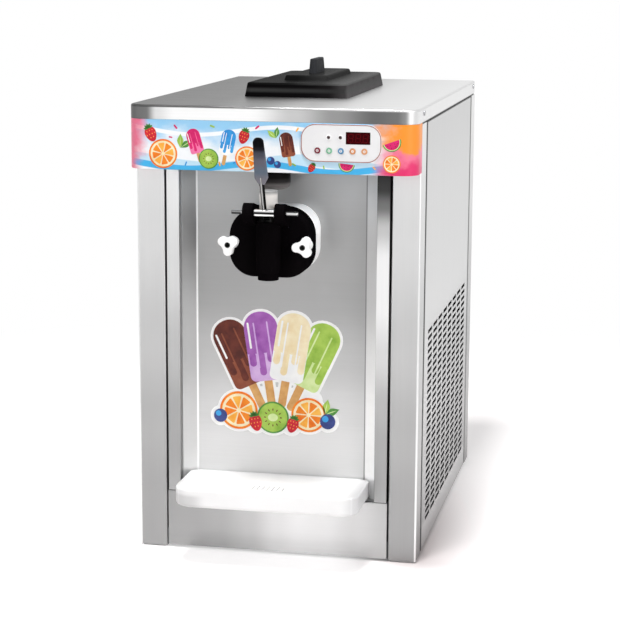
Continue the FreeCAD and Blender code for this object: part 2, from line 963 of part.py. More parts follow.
def insulation_block():
    """Foam block round the coil, with holes for the two pipes."""
    front = recess_depth + sheet + fit_gap
    rear = front + insulation_length
    high = hopper_floor - hopper_wall - fit_gap
    block = box(-insulation_half_width, insulation_half_width, front, rear, deck_top, high)
    bore = rod(coil_outer() + fit_gap, point(0, front, axis_z), point(0, rear, axis_z))
    pipes = rod(suction_radius + fit_gap, point(-insulation_half_width, coil_entry_depth, axis_z),
                point(insulation_half_width, coil_entry_depth, axis_z))
    return cut(block, bore, pipes)


def stud_places():
    """Left and right places of the door studs."""
    return [-stud_spread, stud_spread]


def cylinder_front_block():
    """Moulded block round the front of the cylinder."""
    outline = rectangle(-block_half_width, block_half_width,
                        axis_z - block_half_height, axis_z + block_half_height)
    block = front_slab(outline, even(block_corner, outline), -block_reach, recess_depth)
    block = round_plane(block, block_edge_radius, "Y", front_y - block_reach)
    holes = [rod(stud_radius, point(x, -block_reach, axis_z), point(x, stud_sink, axis_z))
             for x in stud_places()]
    bore = rod(cylinder_outer + fit_gap, point(0, -block_reach, axis_z), point(0, recess_depth, axis_z))
    return cut(block, bore, *holes)


def outlet_star():
    """Star shaped outlet in the floor of the valve barrel."""
    points = []
    for index in range(2 * outlet_points):
        radius = outlet_outer if index % 2 == 0 else outlet_inner
        angle = math.pi * index / outlet_points
        points.append((radius * math.cos(angle), barrel_depth + radius * math.sin(angle)))
    low = axis_z - spout_low
    return plan_slab(points, even(0, points), low, low + spout_floor)


def door_lug():
    """Right lug of the pivot pin."""
    root = [(-door_front, axis_z + lug_root), (-door_front, pin_z + lug_radius / 2),
            (pin_depth, pin_z + lug_radius), (pin_depth, pin_z - lug_radius)]
    web = side_slab(root, even(0, root), lug_inner, lug_inner + lug_thickness)
    knuckle = rod(lug_radius, point(lug_inner, pin_depth, pin_z),
                  point(lug_inner + lug_thickness, pin_depth, pin_z))
    return fuse(web, knuckle)


def door_plate():
    """Door plate before any hole."""
    outline = rectangle(-door_half_width, door_half_width,
                        axis_z - door_half_height, axis_z + door_half_height)
    corners = [door_low_corner, door_low_corner, door_top_corner, door_top_corner]
    plate = front_slab(outline, corners, -door_front, -block_reach)
    return round_plane(plate, door_edge_radius, "Y", front_y - door_front)


def valve_room():
    """Bore of the valve, from the outlet's floor to the valve's top."""
    return rod(valve_radius + valve_clearance, point(0, barrel_depth, axis_z - spout_low + spout_floor),
               point(0, barrel_depth, valve_top))


def mix_channel():
    """Hole that takes the mix from the cylinder to the valve's bore."""
    return rod(channel_radius, point(0, door_plug_length - block_reach, axis_z - channel_drop),
               point(0, barrel_depth, axis_z - channel_drop))


def freezer_door():
    """Door plate with the plug that closes the cylinder."""
    rear = door_plug_length - block_reach
    plug = rod(cylinder_bore - door_plug_clearance, point(0, -block_reach - fit_gap, axis_z),
               point(0, rear, axis_z))
    nose = rod(nose_radius + fit_gap, point(0, rear - nose_length - fit_gap, axis_z), point(0, rear, axis_z))
    studs = [rod(stud_radius + stud_clearance, point(x, -door_front, axis_z), point(x, -block_reach, axis_z))
             for x in stud_places()]
    return cut(fuse(door_plate(), plug), valve_room(), mix_channel(), nose, gasket_ring(gasket_clearance),
               *studs)


def valve_barrel():
    """Valve barrel on the door's face, with its spout and pin lugs."""
    top = axis_z + barrel_top
    low = axis_z - spout_low
    barrel = rod(barrel_radius, point(0, barrel_depth, low + spout_step), point(0, barrel_depth, top))
    barrel = round_plane(barrel, barrel_edge_radius, "Z", low + spout_step)
    spout = rod(spout_radius, point(0, barrel_depth, low), point(0, barrel_depth, top))
    lug = door_lug()
    pin = rod(pin_radius + pin_clearance, point(-pin_half_length, pin_depth, pin_z),
              point(pin_half_length, pin_depth, pin_z))
    body = fuse(barrel, spout, lug, mirrored(lug))
    return cut(body, door_plate(), valve_room(), outlet_star(), mix_channel(), pin)


def gasket_ring(clearance):
    """Ring between the door and the front block, or its groove."""
    depth = -block_reach - gasket_depth - clearance
    start = point(0, depth, axis_z)
    stop = point(0, -block_reach, axis_z)
    half = gasket_width / 2 + clearance
    return cut(rod(gasket_radius + half, start, stop), rod(gasket_radius - half, start, stop))


def nut_rear():
    """Depth of the face by which a hand nut bears on the door."""
    return -door_front - fit_gap


def nut_front():
    """Depth of a hand nut's front face."""
    return nut_rear() - nut_reach


def door_studs():
    """Studs that the hand nuts turn on."""
    return group(rod(stud_radius, point(x, stud_sink, axis_z), point(x, nut_front() + stud_recess, axis_z))
                 for x in stud_places())


def lobe_wire(x, depth, turn):
    """Wire of a lobed knob: round lobes joined by hollow waists."""
    reach = nut_lobe_radius + nut_waist_radius
    step = math.pi / nut_lobes
    along = nut_lobe_circle * math.cos(step)
    waist_circle = along + math.sqrt(reach ** 2 - (nut_lobe_circle * math.sin(step)) ** 2)

    def on_circle(radius, angle):
        return point(x + radius * math.cos(angle), depth, axis_z + radius * math.sin(angle))

    edges = []
    for index in range(nut_lobes):
        angle = math.radians(turn) + 2 * step * index
        lobe = on_circle(nut_lobe_circle, angle)
        before = on_circle(waist_circle, angle - step)
        after = on_circle(waist_circle, angle + step)
        following = on_circle(nut_lobe_circle, angle + 2 * step)
        start = lobe + (before - lobe).normalize() * nut_lobe_radius
        stop = lobe + (after - lobe).normalize() * nut_lobe_radius
        tip = on_circle(nut_lobe_circle + nut_lobe_radius, angle)
        waist = on_circle(waist_circle - nut_waist_radius, angle + step)
        onward = following + (after - following).normalize() * nut_lobe_radius
        edges.append(Part.Arc(start, tip, stop).toShape())
        edges.append(Part.Arc(stop, waist, onward).toShape())
    return Part.Wire(edges)


def hand_nut(x, turn):
    """Lobed hand nut with a hub that bears on the door."""
    front = nut_front()
    head = Part.Face(lobe_wire(x, front, turn)).extrude(FreeCAD.Vector(0, nut_head, 0))
    head = round_plane(head, nut_edge_radius, "Y", front_y + front)
    hub = rod(nut_hub_radius, point(x, front + nut_edge_radius, axis_z), point(x, nut_rear(), axis_z))
    return cut(fuse(head, hub), rod(stud_radius + stud_clearance, point(x, front, axis_z),
                                    point(x, nut_rear(), axis_z)))


def pivot_pin():
    """Cross pin with a thicker head on the right."""
    bar = rod(pin_radius, point(-pin_half_length, pin_depth, pin_z), point(pin_half_length, pin_depth, pin_z))
    head = rod(pin_head_radius, point(pin_half_length - pin_head_length, pin_depth, pin_z),
               point(pin_half_length, pin_depth, pin_z))
    pin = fuse(bar, head)
    return round_plane(pin, pin_radius / 4, "X", pin_half_length)


def on_lever(x, along, ahead):
    """Point beside the lever's line: distance along it from the pin, and ahead of it."""
    depth = pin_depth - along * math.sin(lean) - ahead * math.cos(lean)
    return point(x, depth, pin_z + along * math.cos(lean) - ahead * math.sin(lean))


def draw_lever():
    """Lever eye, rod and the arm that lifts the valve."""
    eye_half = lug_inner - lever_eye_gap
    eye = rod(lever_eye_radius, point(-eye_half, pin_depth, pin_z), point(eye_half, pin_depth, pin_z))
    stem = rod(lever_rod_radius, on_lever(0, 0, 0), on_lever(0, grip_start + grip_socket, 0))
    half = lever_arm_thickness / 2
    arm = box(-lever_arm_width / 2, lever_arm_width / 2, pin_depth, pin_depth + lever_arm, pin_z - half,
              pin_z + half)
    arm = turned(arm, point(0, pin_depth, pin_z), FreeCAD.Vector(1, 0, 0), -lever_swing / 2)
    tip = rod(lever_tip_radius, point(-lever_arm_width / 2, tip_depth, tip_z),
              point(lever_arm_width / 2, tip_depth, tip_z))
    hole = rod(pin_radius + pin_clearance, point(-lug_inner, pin_depth, pin_z),
               point(lug_inner, pin_depth, pin_z))
    return cut(fuse(eye, stem, arm, tip), hole)


def lever_grip():
    """Flat grip on the end of the lever rod, with a rounded top."""
    shoulder = grip_start + grip_shoulder
    top_half = grip_top_width / 2
    half = grip_width / 2
    pairs = [(-grip_neck_width / 2, grip_start), (grip_neck_width / 2, grip_start), (half, shoulder),
             (top_half, lever_length), (-top_half, lever_length), (-half, shoulder)]
    radii = [grip_edge_radius, grip_edge_radius, grip_shoulder / 2, grip_top_radius, grip_top_radius,
             grip_shoulder / 2]
    wire = rounded_wire([on_lever(x, along, -grip_thickness / 2) for x, along in pairs], radii)
    ahead = on_lever(0, 0, grip_thickness / 2) - on_lever(0, 0, -grip_thickness / 2)
    plate = Part.Face(wire).extrude(ahead)
    faces = [plate.Faces[-1], plate.Faces[-2]]
    plate = plate.makeFillet(grip_edge_radius, [edge for face in faces for edge in face.Edges])
    socket = rod(lever_rod_radius + grip_socket_clearance, on_lever(0, grip_start - grip_edge_radius, 0),
                 on_lever(0, grip_start + grip_socket + fit_gap, 0))
    return cut(plate, socket)


def draw_valve():
    """Plunger with seal grooves and the slot that the lever's tip works in."""
    low = axis_z - spout_low + spout_floor + fit_gap
    body = rod(valve_radius, point(0, barrel_depth, low), point(0, barrel_depth, valve_top))
    body = round_plane(body, valve_edge_radius, "Z", valve_top)
    half = lever_tip_radius + slot_tip_clearance
    side = lever_arm_width / 2 + slot_side_clearance
    slot = box(-side, side, barrel_depth - valve_radius, tip_depth + lever_arm * (1 - math.cos(half_swing))
               + lever_tip_radius + fit_gap, tip_z - half, tip_z + half)
    grooves = []
    for z in (low + seal_width, axis_z - channel_drop + channel_radius + 2 * seal_width, axis_z):
        ring = rod(valve_radius, point(0, barrel_depth, z), point(0, barrel_depth, z + seal_width))
        core = rod(valve_radius - seal_depth, point(0, barrel_depth, z),
                   point(0, barrel_depth, z + seal_width))
        grooves.append(cut(ring, core))
    return cut(body, slot, *grooves)


def switch_hood():
    """Cup under the fascia that covers the draw switch, hollowed where the valve rises past it."""
    low = fascia_low - hood_height
    cup = rod(hood_radius, point(0, -hood_back, low), point(0, -hood_back, fascia_low))
    cup = round_plane(cup, hood_edge_radius, "Z", low)
    room = rod(hood_radius - hood_wall, point(0, -hood_back, low + hood_wall),
               point(0, -hood_back, fascia_low))
    room = round_plane(room, hood_edge_radius - hood_wall, "Z", low + hood_wall)
    valve_path = rod(valve_radius + hood_valve_gap, point(0, barrel_depth, low),
                     point(0, barrel_depth, fascia_low))
    return cut(cup, room, valve_path)


def hopper_outline():
    """Plan of the hopper's inside."""
    return rectangle(hopper_x - hopper_half_width, hopper_x + hopper_half_width, hopper_front, hopper_rear)


def hopper():
    """Mix tank with a rim on the cover and a feed spout to the cylinder."""
    outline = hopper_outline()
    outside = inset(outline, -hopper_wall)
    rim = inset(outside, -hopper_flange)
    tank = plan_slab(outside, even(hopper_corner + hopper_wall, outside), hopper_floor - hopper_wall, top_z)
    flange = plan_slab(rim, even(hopper_corner + hopper_wall + hopper_flange, rim), top_z,
                       top_z + hopper_flange_thickness)
    spout = rod(feed_radius, point(0, feed_depth, axis_z + cylinder_outer + fit_gap),
                point(0, feed_depth, hopper_floor))
    room = plan_slab(outline, even(hopper_corner, outline), hopper_floor, top_z + hopper_flange_thickness)
    feed = rod(feed_radius - feed_wall, point(0, feed_depth, axis_z + cylinder_outer),
               point(0, feed_depth, hopper_floor))
    return cut(fuse(tank, flange, spout), room, feed)


def air_tube():
    """Feed regulating tube that stands in the hopper's outlet."""
    low = hopper_floor - air_collar_height
    high = hopper_floor + air_tube_height
    tube = rod(air_tube_radius, point(0, feed_depth, low), point(0, feed_depth, high))
    collar = rod(air_collar_radius, point(0, feed_depth, hopper_floor),
                 point(0, feed_depth, hopper_floor + air_collar_height))
    return cut(fuse(tube, collar), rod(air_tube_bore, point(0, feed_depth, low), point(0, feed_depth, high)))


def lid_outline():
    """Plan of the lid's lower edge."""
    return inset(hopper_outline(), -lid_overhang)


def tapered(outline, corner, draft, z0, z1):
    """Slab whose sides lean in by a draft."""
    upper = inset(outline, draft)
    return loft(plan_wire(outline, even(corner, outline), z0), plan_wire(upper, even(corner, upper), z1))


def hopper_lid():
    """Hollow moulded lid with a raised spine."""
    low = top_z + fit_gap
    high = low + lid_height
    outline = lid_outline()
    shell = tapered(outline, lid_corner, lid_draft, low, high)
    shell = round_plane(shell, lid_edge_radius, "Z", high)
    spine_plan = spine_outline()
    spine = tapered(spine_plan, spine_corner, spine_draft, high - lid_wall, high + spine_height)
    spine = round_plane(spine, lid_edge_radius, "Z", high + spine_height)
    room = tapered(inset(outline, lid_wall), lid_corner - lid_wall, lid_draft, low, high - lid_wall)
    spine_room = tapered(inset(spine_plan, lid_wall), spine_corner - lid_wall, spine_draft,
                         high - lid_wall, high + spine_height - lid_wall)
    return cut(fuse(shell, spine), room, spine_room)


def spine_outline():
    """Plan of the lid's raised spine."""
    return rectangle(hopper_x - spine_half_width, hopper_x + spine_half_width,
                     hopper_front - lid_overhang + spine_front_inset,
                     hopper_rear + lid_overhang - spine_rear_inset)


def lid_handle():
    """Upright bar grip along the lid, with finger grooves."""
    low = top_z + fit_gap + lid_height + spine_height
    middle = (hopper_front + hopper_rear) / 2
    outline = rectangle(hopper_x - handle_half_width, hopper_x + handle_half_width,
                        middle - handle_half_length, middle + handle_half_length)
    bar = tapered(outline, handle_corner, handle_draft, low, low + handle_height)
    bar = round_plane(bar, handle_edge_radius, "Z", low + handle_height)
    pitch = 2 * (handle_half_length - handle_corner) / handle_groove_count
    grooves = []
    for index in range(handle_groove_count):
        depth = middle + (index - (handle_groove_count - 1) / 2) * pitch
        for side in (-1, 1):
            foot_x = hopper_x + side * (handle_half_width + handle_groove_radius / 2)
            head_x = foot_x - side * handle_draft
            grooves.append(rod(handle_groove_radius, point(foot_x, depth, low),
                               point(head_x, depth, low + handle_height)))
    return cut(bar, *grooves)


def beater():
    """Beater shaft with cross arms and long bars, driven from the rear."""
    front = door_plug_length - block_reach
    first = front + beater_end_gap
    last = cylinder_rear - cylinder_end - beater_end_gap
    shaft = rod(shaft_radius, point(0, front + fit_gap, axis_z), point(0, gearbox_rear - fit_gap, axis_z))
    nose = rod(nose_radius, point(0, front - nose_length, axis_z), point(0, first, axis_z))
    pieces = [shaft, nose]
    step = (last - first - beater_arm_thickness) / (beater_arm_count - 1)
    for index in range(beater_arm_count):
        depth = first + step * index
        pieces.append(box(-beater_bar_circle, beater_bar_circle, depth, depth + beater_arm_thickness,
                          axis_z - beater_arm_width / 2, axis_z + beater_arm_width / 2))
    for x in (-beater_bar_circle, beater_bar_circle):
        pieces.append(rod(beater_bar_radius, point(x, first, axis_z), point(x, last, axis_z)))
    return fuse(*pieces)


def scraper_blades():
    """Two blades clipped on the beater's bars."""
    first = door_plug_length - block_reach + beater_end_gap
    last = cylinder_rear - cylinder_end - beater_end_gap
    x0 = blade_reach - blade_depth
    bar = rod(beater_bar_radius + blade_clearance, point(beater_bar_circle, first, axis_z),
              point(beater_bar_circle, last, axis_z))
    half_arm = beater_arm_width / 2 + blade_clearance
    arms = box(-beater_bar_circle - blade_clearance, beater_bar_circle + blade_clearance, first, last,
               axis_z - half_arm, axis_z + half_arm)
    blade = cut(box(x0, blade_reach, first, last, axis_z - blade_thickness / 2, axis_z + blade_thickness / 2),
                bar, arms)
    return group([blade, mirrored(blade)])


def spur_gear(teeth, centre_z, start, bore, first_tooth):
    """Straight toothed gear with one tooth centred on an angle in degrees."""
    pitch_radius = gear_module * teeth / 2
    tip = pitch_radius + gear_module * gear_tip_share
    root = pitch_radius - gear_module * gear_root_share
    half = math.pi / (2 * teeth) * (1 - gear_backlash)
    flank = math.tan(math.radians(gear_pressure_angle)) * gear_module / pitch_radius
    corners = []
    for index in range(teeth):
        middle = math.radians(first_tooth) + 2 * math.pi * index / teeth
        for radius, side in ((root, -half - flank * gear_root_share), (tip, -half + flank * gear_tip_share),
                             (tip, half - flank * gear_tip_share), (root, half + flank * gear_root_share)):
            angle = middle + side
            corners.append((radius * math.cos(angle), centre_z + radius * math.sin(angle)))
    wheel = front_slab(corners, even(0, corners), start, start + gear_width)
    return cut(wheel, rod(bore, point(0, start, centre_z), point(0, start + gear_width, centre_z)))


def gear_front():
    """Depth of the front faces of both gears."""
    return gearbox_front + gearbox_wall + gear_clearance


def output_gear():
    """Large gear on the beater's shaft."""
    return spur_gear(gear_teeth, axis_z, gear_front(), shaft_radius + shaft_clearance, -90)


def pinion_shaft():
    """Small gear on the shaft of the driven pulley."""
    wheel = spur_gear(pinion_teeth, pinion_z, gear_front(), shaft_clearance, 90 + 180 / pinion_teeth)
    shaft = rod(pinion_shaft_radius, point(0, gear_front(), pinion_z), point(0, pulley_rear, pinion_z))
    return fuse(wheel, shaft)


def gearbox():
    """Gear case with a nose on the cylinder's end, and its rear cover."""
    reach = gear_tip + gear_clearance + gearbox_wall
    outline = rectangle(-reach, reach, deck_top, axis_z + reach)
    case = front_slab(outline, even(gearbox_wall, outline), gearbox_front, gearbox_rear)
    nose = rod(gearbox_nose_radius, point(0, cylinder_rear, axis_z), point(0, gearbox_front, axis_z))
    hollow = inset(outline, gearbox_wall)
    room = front_slab(hollow, even(0, hollow), gearbox_front + gearbox_wall, gearbox_rear)
    bore = rod(shaft_radius + shaft_clearance, point(0, cylinder_rear, axis_z),
               point(0, gearbox_rear, axis_z))
    cover = front_slab(outline, even(gearbox_wall, outline), gearbox_rear, cover_rear)
    input_bore = rod(pinion_shaft_radius + shaft_clearance, point(0, gearbox_rear, pinion_z),
                     point(0, cover_rear, pinion_z))
    return group([cut(fuse(case, nose), room, bore), cut(cover, input_bore)])


def pulley(pitch_radius, centre_z, bore):
    """Belt pulley with a square groove."""
    rim = pitch_radius + pulley_rim
    floor = pitch_radius - belt_thickness / 2 - belt_clearance
    start = point(0, pulley_front, centre_z)
    stop = point(0, pulley_rear, centre_z)
    groove_front = belt_front() - belt_clearance
    groove_rear = belt_front() + belt_width + belt_clearance
    groove = cut(rod(rim, point(0, groove_front, centre_z), point(0, groove_rear, centre_z)),
                 rod(floor, point(0, groove_front, centre_z), point(0, groove_rear, centre_z)))
    return cut(rod(rim, start, stop), groove, rod(bore, start, stop))


def belt_front():
    """Depth of the belt's front edge, centred on the pulleys."""
    return pulley_front + (pulley_width - belt_width) / 2


def driven_pulley():
    """Large pulley on the pinion shaft."""
    return pulley(pulley_pitch_radius, pinion_z, pinion_shaft_radius + shaft_clearance)


def motor_pulley():
    """Small pulley with the motor's shaft."""
    wheel = pulley(motor_pulley_pitch_radius, motor_z, motor_shaft_radius)
    shaft = rod(motor_shaft_radius, point(0, motor_rear() - motor_shaft_entry + fit_gap, motor_z),
                point(0, pulley_rear, motor_z))
    return fuse(wheel, shaft)


def belt_loop(offset):
    """Filled outline of the belt's path round both pulleys at an offset from the pitch line."""
    high = pulley_pitch_radius + offset
    low = motor_pulley_pitch_radius + offset
    distance = pinion_z - motor_z
    tilt = math.asin((high - low) / distance)
    across = math.cos(tilt)
    drop = -math.sin(tilt)
    front = belt_front()

    def on_pulley(radius, side, centre_z):
        return point(side * radius * across, front, centre_z + radius * drop)

    edges = [
        Part.Arc(on_pulley(high, -1, pinion_z), point(0, front, pinion_z + high),
                 on_pulley(high, 1, pinion_z)).toShape(),
        Part.makeLine(on_pulley(high, 1, pinion_z), on_pulley(low, 1, motor_z)),
        Part.Arc(on_pulley(low, 1, motor_z), point(0, front, motor_z - low),
                 on_pulley(low, -1, motor_z)).toShape(),
        Part.makeLine(on_pulley(low, -1, motor_z), on_pulley(high, -1, pinion_z)),
    ]
    return Part.Face(Part.Wire(edges)).extrude(FreeCAD.Vector(0, belt_width, 0))


def drive_belt():
    """Belt round the two pulleys."""
    return cut(belt_loop(belt_thickness / 2), belt_loop(-belt_thickness / 2))


def motor_rear():
    """Depth of the motor's rear face."""
    return pulley_front - pulley_seat


def drive_motor():
    """Motor body with end bells on a foot, bored for its shaft."""
    rear = motor_rear()
    front = rear - motor_length
    body = rod(motor_radius, point(0, front + motor_bell_length, motor_z),
               point(0, rear - motor_bell_length, motor_z))
    bells = rod(motor_bell_radius, point(0, front, motor_z), point(0, rear, motor_z))
    foot = box(-motor_foot_half_width, motor_foot_half_width, front + motor_bell_length,
               rear - motor_bell_length, floor_z, motor_z)
    bore = rod(motor_shaft_radius + shaft_clearance, point(0, rear - motor_shaft_entry, motor_z),
               point(0, rear, motor_z))
    return cut(fuse(body, bells, foot), bore)


def mid_deck():
    """Shelf that carries the cylinder's block, the gearbox and the electrical box."""
    x0 = half_width - post_width - seam
    x1 = half_width - sheet
    front = recess_depth + sheet + fit_gap
    side = post_depth + deck_front_gap
    rear = pulley_front - fit_gap
    outline = [(-x0, front), (x0, front), (x0, side), (x1, side), (x1, rear), (-x1, rear), (-x1, side),
               (-x0, side)]
    return plan_slab(outline, even(0, outline), deck_top - deck_wall, deck_top)


def inner_frame():
    """Sheet frame inside the cabinet: the ring under the cover and the shelf below it."""
    return group([upper_frame(), mid_deck()])


def compressor_top():
    """Height of the compressor's top."""
    return floor_z + grommet_height + compressor_plate + compressor_height


def compressor():
    """Sealed compressor on a foot plate with four grommets."""
    low = floor_z + grommet_height
    x = compressor_x
    depth = compressor_depth
    half = compressor_plate_half
    plate = box(x - half, x + half, depth - half, depth + half, low, low + compressor_plate)
    shell = rod(compressor_radius, point(x, depth, low), point(x, depth, compressor_top()))
    shell = round_plane(shell, compressor_edge_radius, "Z", compressor_top())
    pieces = [plate, shell]
    spread = half - grommet_radius
    for u in (-spread, spread):
        for v in (-spread, spread):
            pieces.append(rod(grommet_radius, point(x + u, depth + v, floor_z), point(x + u, depth + v, low)))
    return fuse(*pieces)


def condenser_rear():
    """Depth of the condenser's rear end."""
    return condenser_front + condenser_length


def condenser():
    """Fin pack between two end plates."""
    x0 = condenser_inner_x
    x1 = x0 + condenser_thickness
    z1 = floor_z + condenser_height
    pieces = [box(x0 + condenser_fin_depth, x1 - condenser_fin_depth, condenser_front, condenser_rear(),
                  floor_z + condenser_plate, z1 - condenser_plate)]
    for d0 in (condenser_front, condenser_rear() - condenser_plate):
        pieces.append(box(x0, x1, d0, d0 + condenser_plate, floor_z, z1))
    fins = int((condenser_length - 2 * condenser_plate) / condenser_fin_pitch)
    for index in range(1, fins + 1):
        d0 = condenser_front + index * condenser_fin_pitch
        pieces.append(box(x0, x1, d0, d0 + condenser_plate / 2, floor_z + condenser_plate,
                          z1 - condenser_plate))
    return fuse(*pieces)


def fan_centre():
    """Depth and height of the fan's axis."""
    return condenser_front + condenser_length / 2, floor_z + condenser_height / 2


def fan_shroud():
    """Plate on the condenser with a round collar for the fan."""
    depth, z = fan_centre()
    x1 = condenser_inner_x
    x0 = x1 - shroud_wall
    plate = box(x0, x1, condenser_front, condenser_rear(), floor_z, floor_z + condenser_height)
    bore = fan_radius + fan_tip_gap
    collar = rod(bore + shroud_wall, point(x0 - shroud_collar, depth, z), point(x1, depth, z))
    return cut(fuse(plate, collar), rod(bore, point(x0 - shroud_collar, depth, z), point(x1, depth, z)))


def fan_front_x():
    """Place across of the fan's outlet side."""
    return condenser_inner_x - shroud_wall - fan_shroud_gap


def fan_blade():
    """Hub with tilted blades and the shaft into its motor."""
    depth, z = fan_centre()
    x1 = fan_front_x()
    x0 = x1 - fan_width
    hub = rod(fan_hub_radius, point(x0, depth, z), point(x1, depth, z))
    limit = rod(fan_radius, point(x0, depth, z), point(x1, depth, z))
    middle = (x0 + x1) / 2
    centre = point(middle, depth, z)
    blade = box(middle - fan_blade_thickness / 2, middle + fan_blade_thickness / 2,
                depth - fan_blade_width / 2, depth + fan_blade_width / 2, z, z + fan_radius)
    blade = turned(blade, centre, FreeCAD.Vector(0, 0, 1), fan_blade_tilt).common(limit)
    blades = [turned(blade, centre, FreeCAD.Vector(1, 0, 0), 360 * index / fan_blades)
              for index in range(fan_blades)]
    shaft = rod(fan_shaft_radius, point(x0 - fan_motor_gap - motor_shaft_entry, depth, z),
                point(x0, depth, z))
    return fuse(hub, shaft, *blades)


def fan_motor():
    """Fan motor on arms that reach round the fan to the shroud."""
    depth, z = fan_centre()
    x1 = fan_front_x() - fan_width - fan_motor_gap
    x0 = x1 - fan_motor_length
    body = rod(fan_motor_radius, point(x0, depth, z), point(x1, depth, z))
    plate_x = condenser_inner_x - shroud_wall
    inner = fan_radius + fan_tip_gap + 2 * shroud_wall
    outer = inner + fan_arm_thickness
    half = fan_arm_width / 2
    spoke = box(x1 - fan_arm_thickness, x1, depth - half, depth + half, z, z + outer)
    leg = box(x1 - fan_arm_thickness, plate_x, depth - half, depth + half, z + inner, z + outer)
    arm = fuse(spoke, leg)
    arms = [turned(arm, point(x0, depth, z), FreeCAD.Vector(1, 0, 0), 360 * (index + 0.5) / fan_arm_count)
            for index in range(fan_arm_count)]
    bore = rod(fan_shaft_radius + shaft_clearance, point(x1 - motor_shaft_entry - fit_gap, depth, z),
               point(x1, depth, z))
    return cut(fuse(body, *arms), bore)


def refrigerant_pipes():
    """Discharge, liquid and suction lines, the liquid line with its drier."""
    top = compressor_top()
    x = condenser_inner_x + condenser_thickness / 2
    end = condenser_rear()
    back = compressor_depth + pipe_entry
    rise = floor_z + condenser_height - pipe_bend
    discharge = pipe([point(compressor_x, back, top), point(compressor_x, back, rise), point(x, back, rise),
                      point(x, end, rise)], pipe_radius, pipe_bend)
    low = floor_z + liquid_drop
    rear = end + liquid_rear
    drier_low = low + liquid_drop
    drier_top = drier_low + drier_length
    feed = pipe([point(x, end, low), point(x, rear, low), point(drier_x, rear, low),
                 point(drier_x, rear, drier_low)], pipe_radius, pipe_bend)
    drier = rod(drier_radius, point(drier_x, rear, drier_low), point(drier_x, rear, drier_top))
    edge = coil_outer() + coil_clearance
    liquid = pipe([point(drier_x, rear, drier_top), point(drier_x, rear, axis_z),
                   point(drier_x, coil_entry_depth, axis_z), point(edge, coil_entry_depth, axis_z)],
                  pipe_radius, pipe_bend)
    suction = pipe([point(-edge, coil_entry_depth, axis_z), point(suction_x, coil_entry_depth, axis_z),
                    point(suction_x, suction_depth, axis_z), point(suction_x, suction_depth, top)],
                   suction_radius, pipe_bend)
    return group([discharge, fuse(feed, drier, liquid), suction])


def electrical_box():
    """Box for the contactor and terminals, with a lid."""
    x0 = box_outer_x
    x1 = x0 + box_width
    d1 = box_front + box_length
    z1 = deck_top + box_height
    room = box(x0 + box_wall, x1 - box_wall, box_front + box_wall, d1 - box_wall, deck_top + box_wall, z1)
    shell = cut(box(x0, x1, box_front, d1, deck_top, z1), room)
    lid = box(x0, x1, box_front, d1, z1, z1 + box_lid)
    return group([shell, lid])


def cord_gland():
    """Cord gland through the rear panel."""
    rear = cabinet_depth
    inside = rear - sheet - gland_inside

    def on_axis(depth):
        return point(gland_x, depth, gland_height)

    body = rod(gland_radius, on_axis(inside), on_axis(rear + gland_reach))
    nut = rod(gland_head_radius, on_axis(inside), on_axis(rear - sheet))
    head = rod(gland_head_radius, on_axis(rear), on_axis(rear + gland_head))
    return cut(fuse(body, nut, head), rod(gland_bore, on_axis(inside), on_axis(rear + gland_reach)))


side_panel = right_side_panel()

nodes = {
    "corner_posts": corner_posts(),
    "feet": feet(),
    "base_pan": base_pan(),
    "right_side_panel": side_panel,
    "left_side_panel": mirrored(side_panel),
    "rear_panel": rear_panel(),
    "kick_panel": kick_panel(),
    "recess_trims": recess_trims(),
    "splash_panel": splash_panel(),
    "top_cover": top_cover(),
    "inner_frame": inner_frame(),
    "cover_screws": cover_screws(),
    "fascia": fascia(),
    "control_panel": control_panel(),
    "display_module": display_module(),
    "control_board": control_board(),
    "power_button": button(0),
    "wash_button": button(1),
    "chill_button": button(2),
    "minus_button": button(3),
    "plus_button": button(4),
    "drip_tray": drip_tray(),
    "drip_grid": drip_grid(),
    "tray_bracket": tray_bracket(),
    "freezing_cylinder": freezing_cylinder(),
    "evaporator_coil": evaporator_coil(),
    "insulation_block": insulation_block(),
    "cylinder_front_block": cylinder_front_block(),
    "freezer_door": freezer_door(),
    "valve_barrel": valve_barrel(),
    "door_gasket": gasket_ring(0),
    "door_studs": door_studs(),
    "left_hand_nut": hand_nut(-stud_spread, nut_left_turn),
    "right_hand_nut": hand_nut(stud_spread, nut_right_turn),
    "pivot_pin": pivot_pin(),
    "draw_lever": draw_lever(),
    "lever_grip": lever_grip(),
    "draw_valve": draw_valve(),
    "switch_hood": switch_hood(),
    "hopper": hopper(),
    "air_tube": air_tube(),
    "hopper_lid": hopper_lid(),
    "lid_handle": lid_handle(),
    "beater": beater(),
    "scraper_blades": scraper_blades(),
    "output_gear": output_gear(),
    "pinion_shaft": pinion_shaft(),
    "gearbox": gearbox(),
    "driven_pulley": driven_pulley(),
    "motor_pulley": motor_pulley(),
    "drive_belt": drive_belt(),
    "drive_motor": drive_motor(),
    "compressor": compressor(),
    "condenser": condenser(),
    "fan_shroud": fan_shroud(),
    "fan_blade": fan_blade(),
    "fan_motor": fan_motor(),
    "refrigerant_pipes": refrigerant_pipes(),
    "electrical_box": electrical_box(),
    "cord_gland": cord_gland(),
}

os.makedirs("parts", exist_ok=True)
for name, shape in nodes.items():
    shape.exportStep("parts/" + name + ".step")
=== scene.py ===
"""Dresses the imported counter-top soft serve machine: steel, plastics, print, decal, keys and studio."""

import logging
import math
from dataclasses import dataclass, field
from enum import Enum
from functools import cache
from typing import Protocol

import bmesh
import bpy
from mathutils import Matrix, Vector


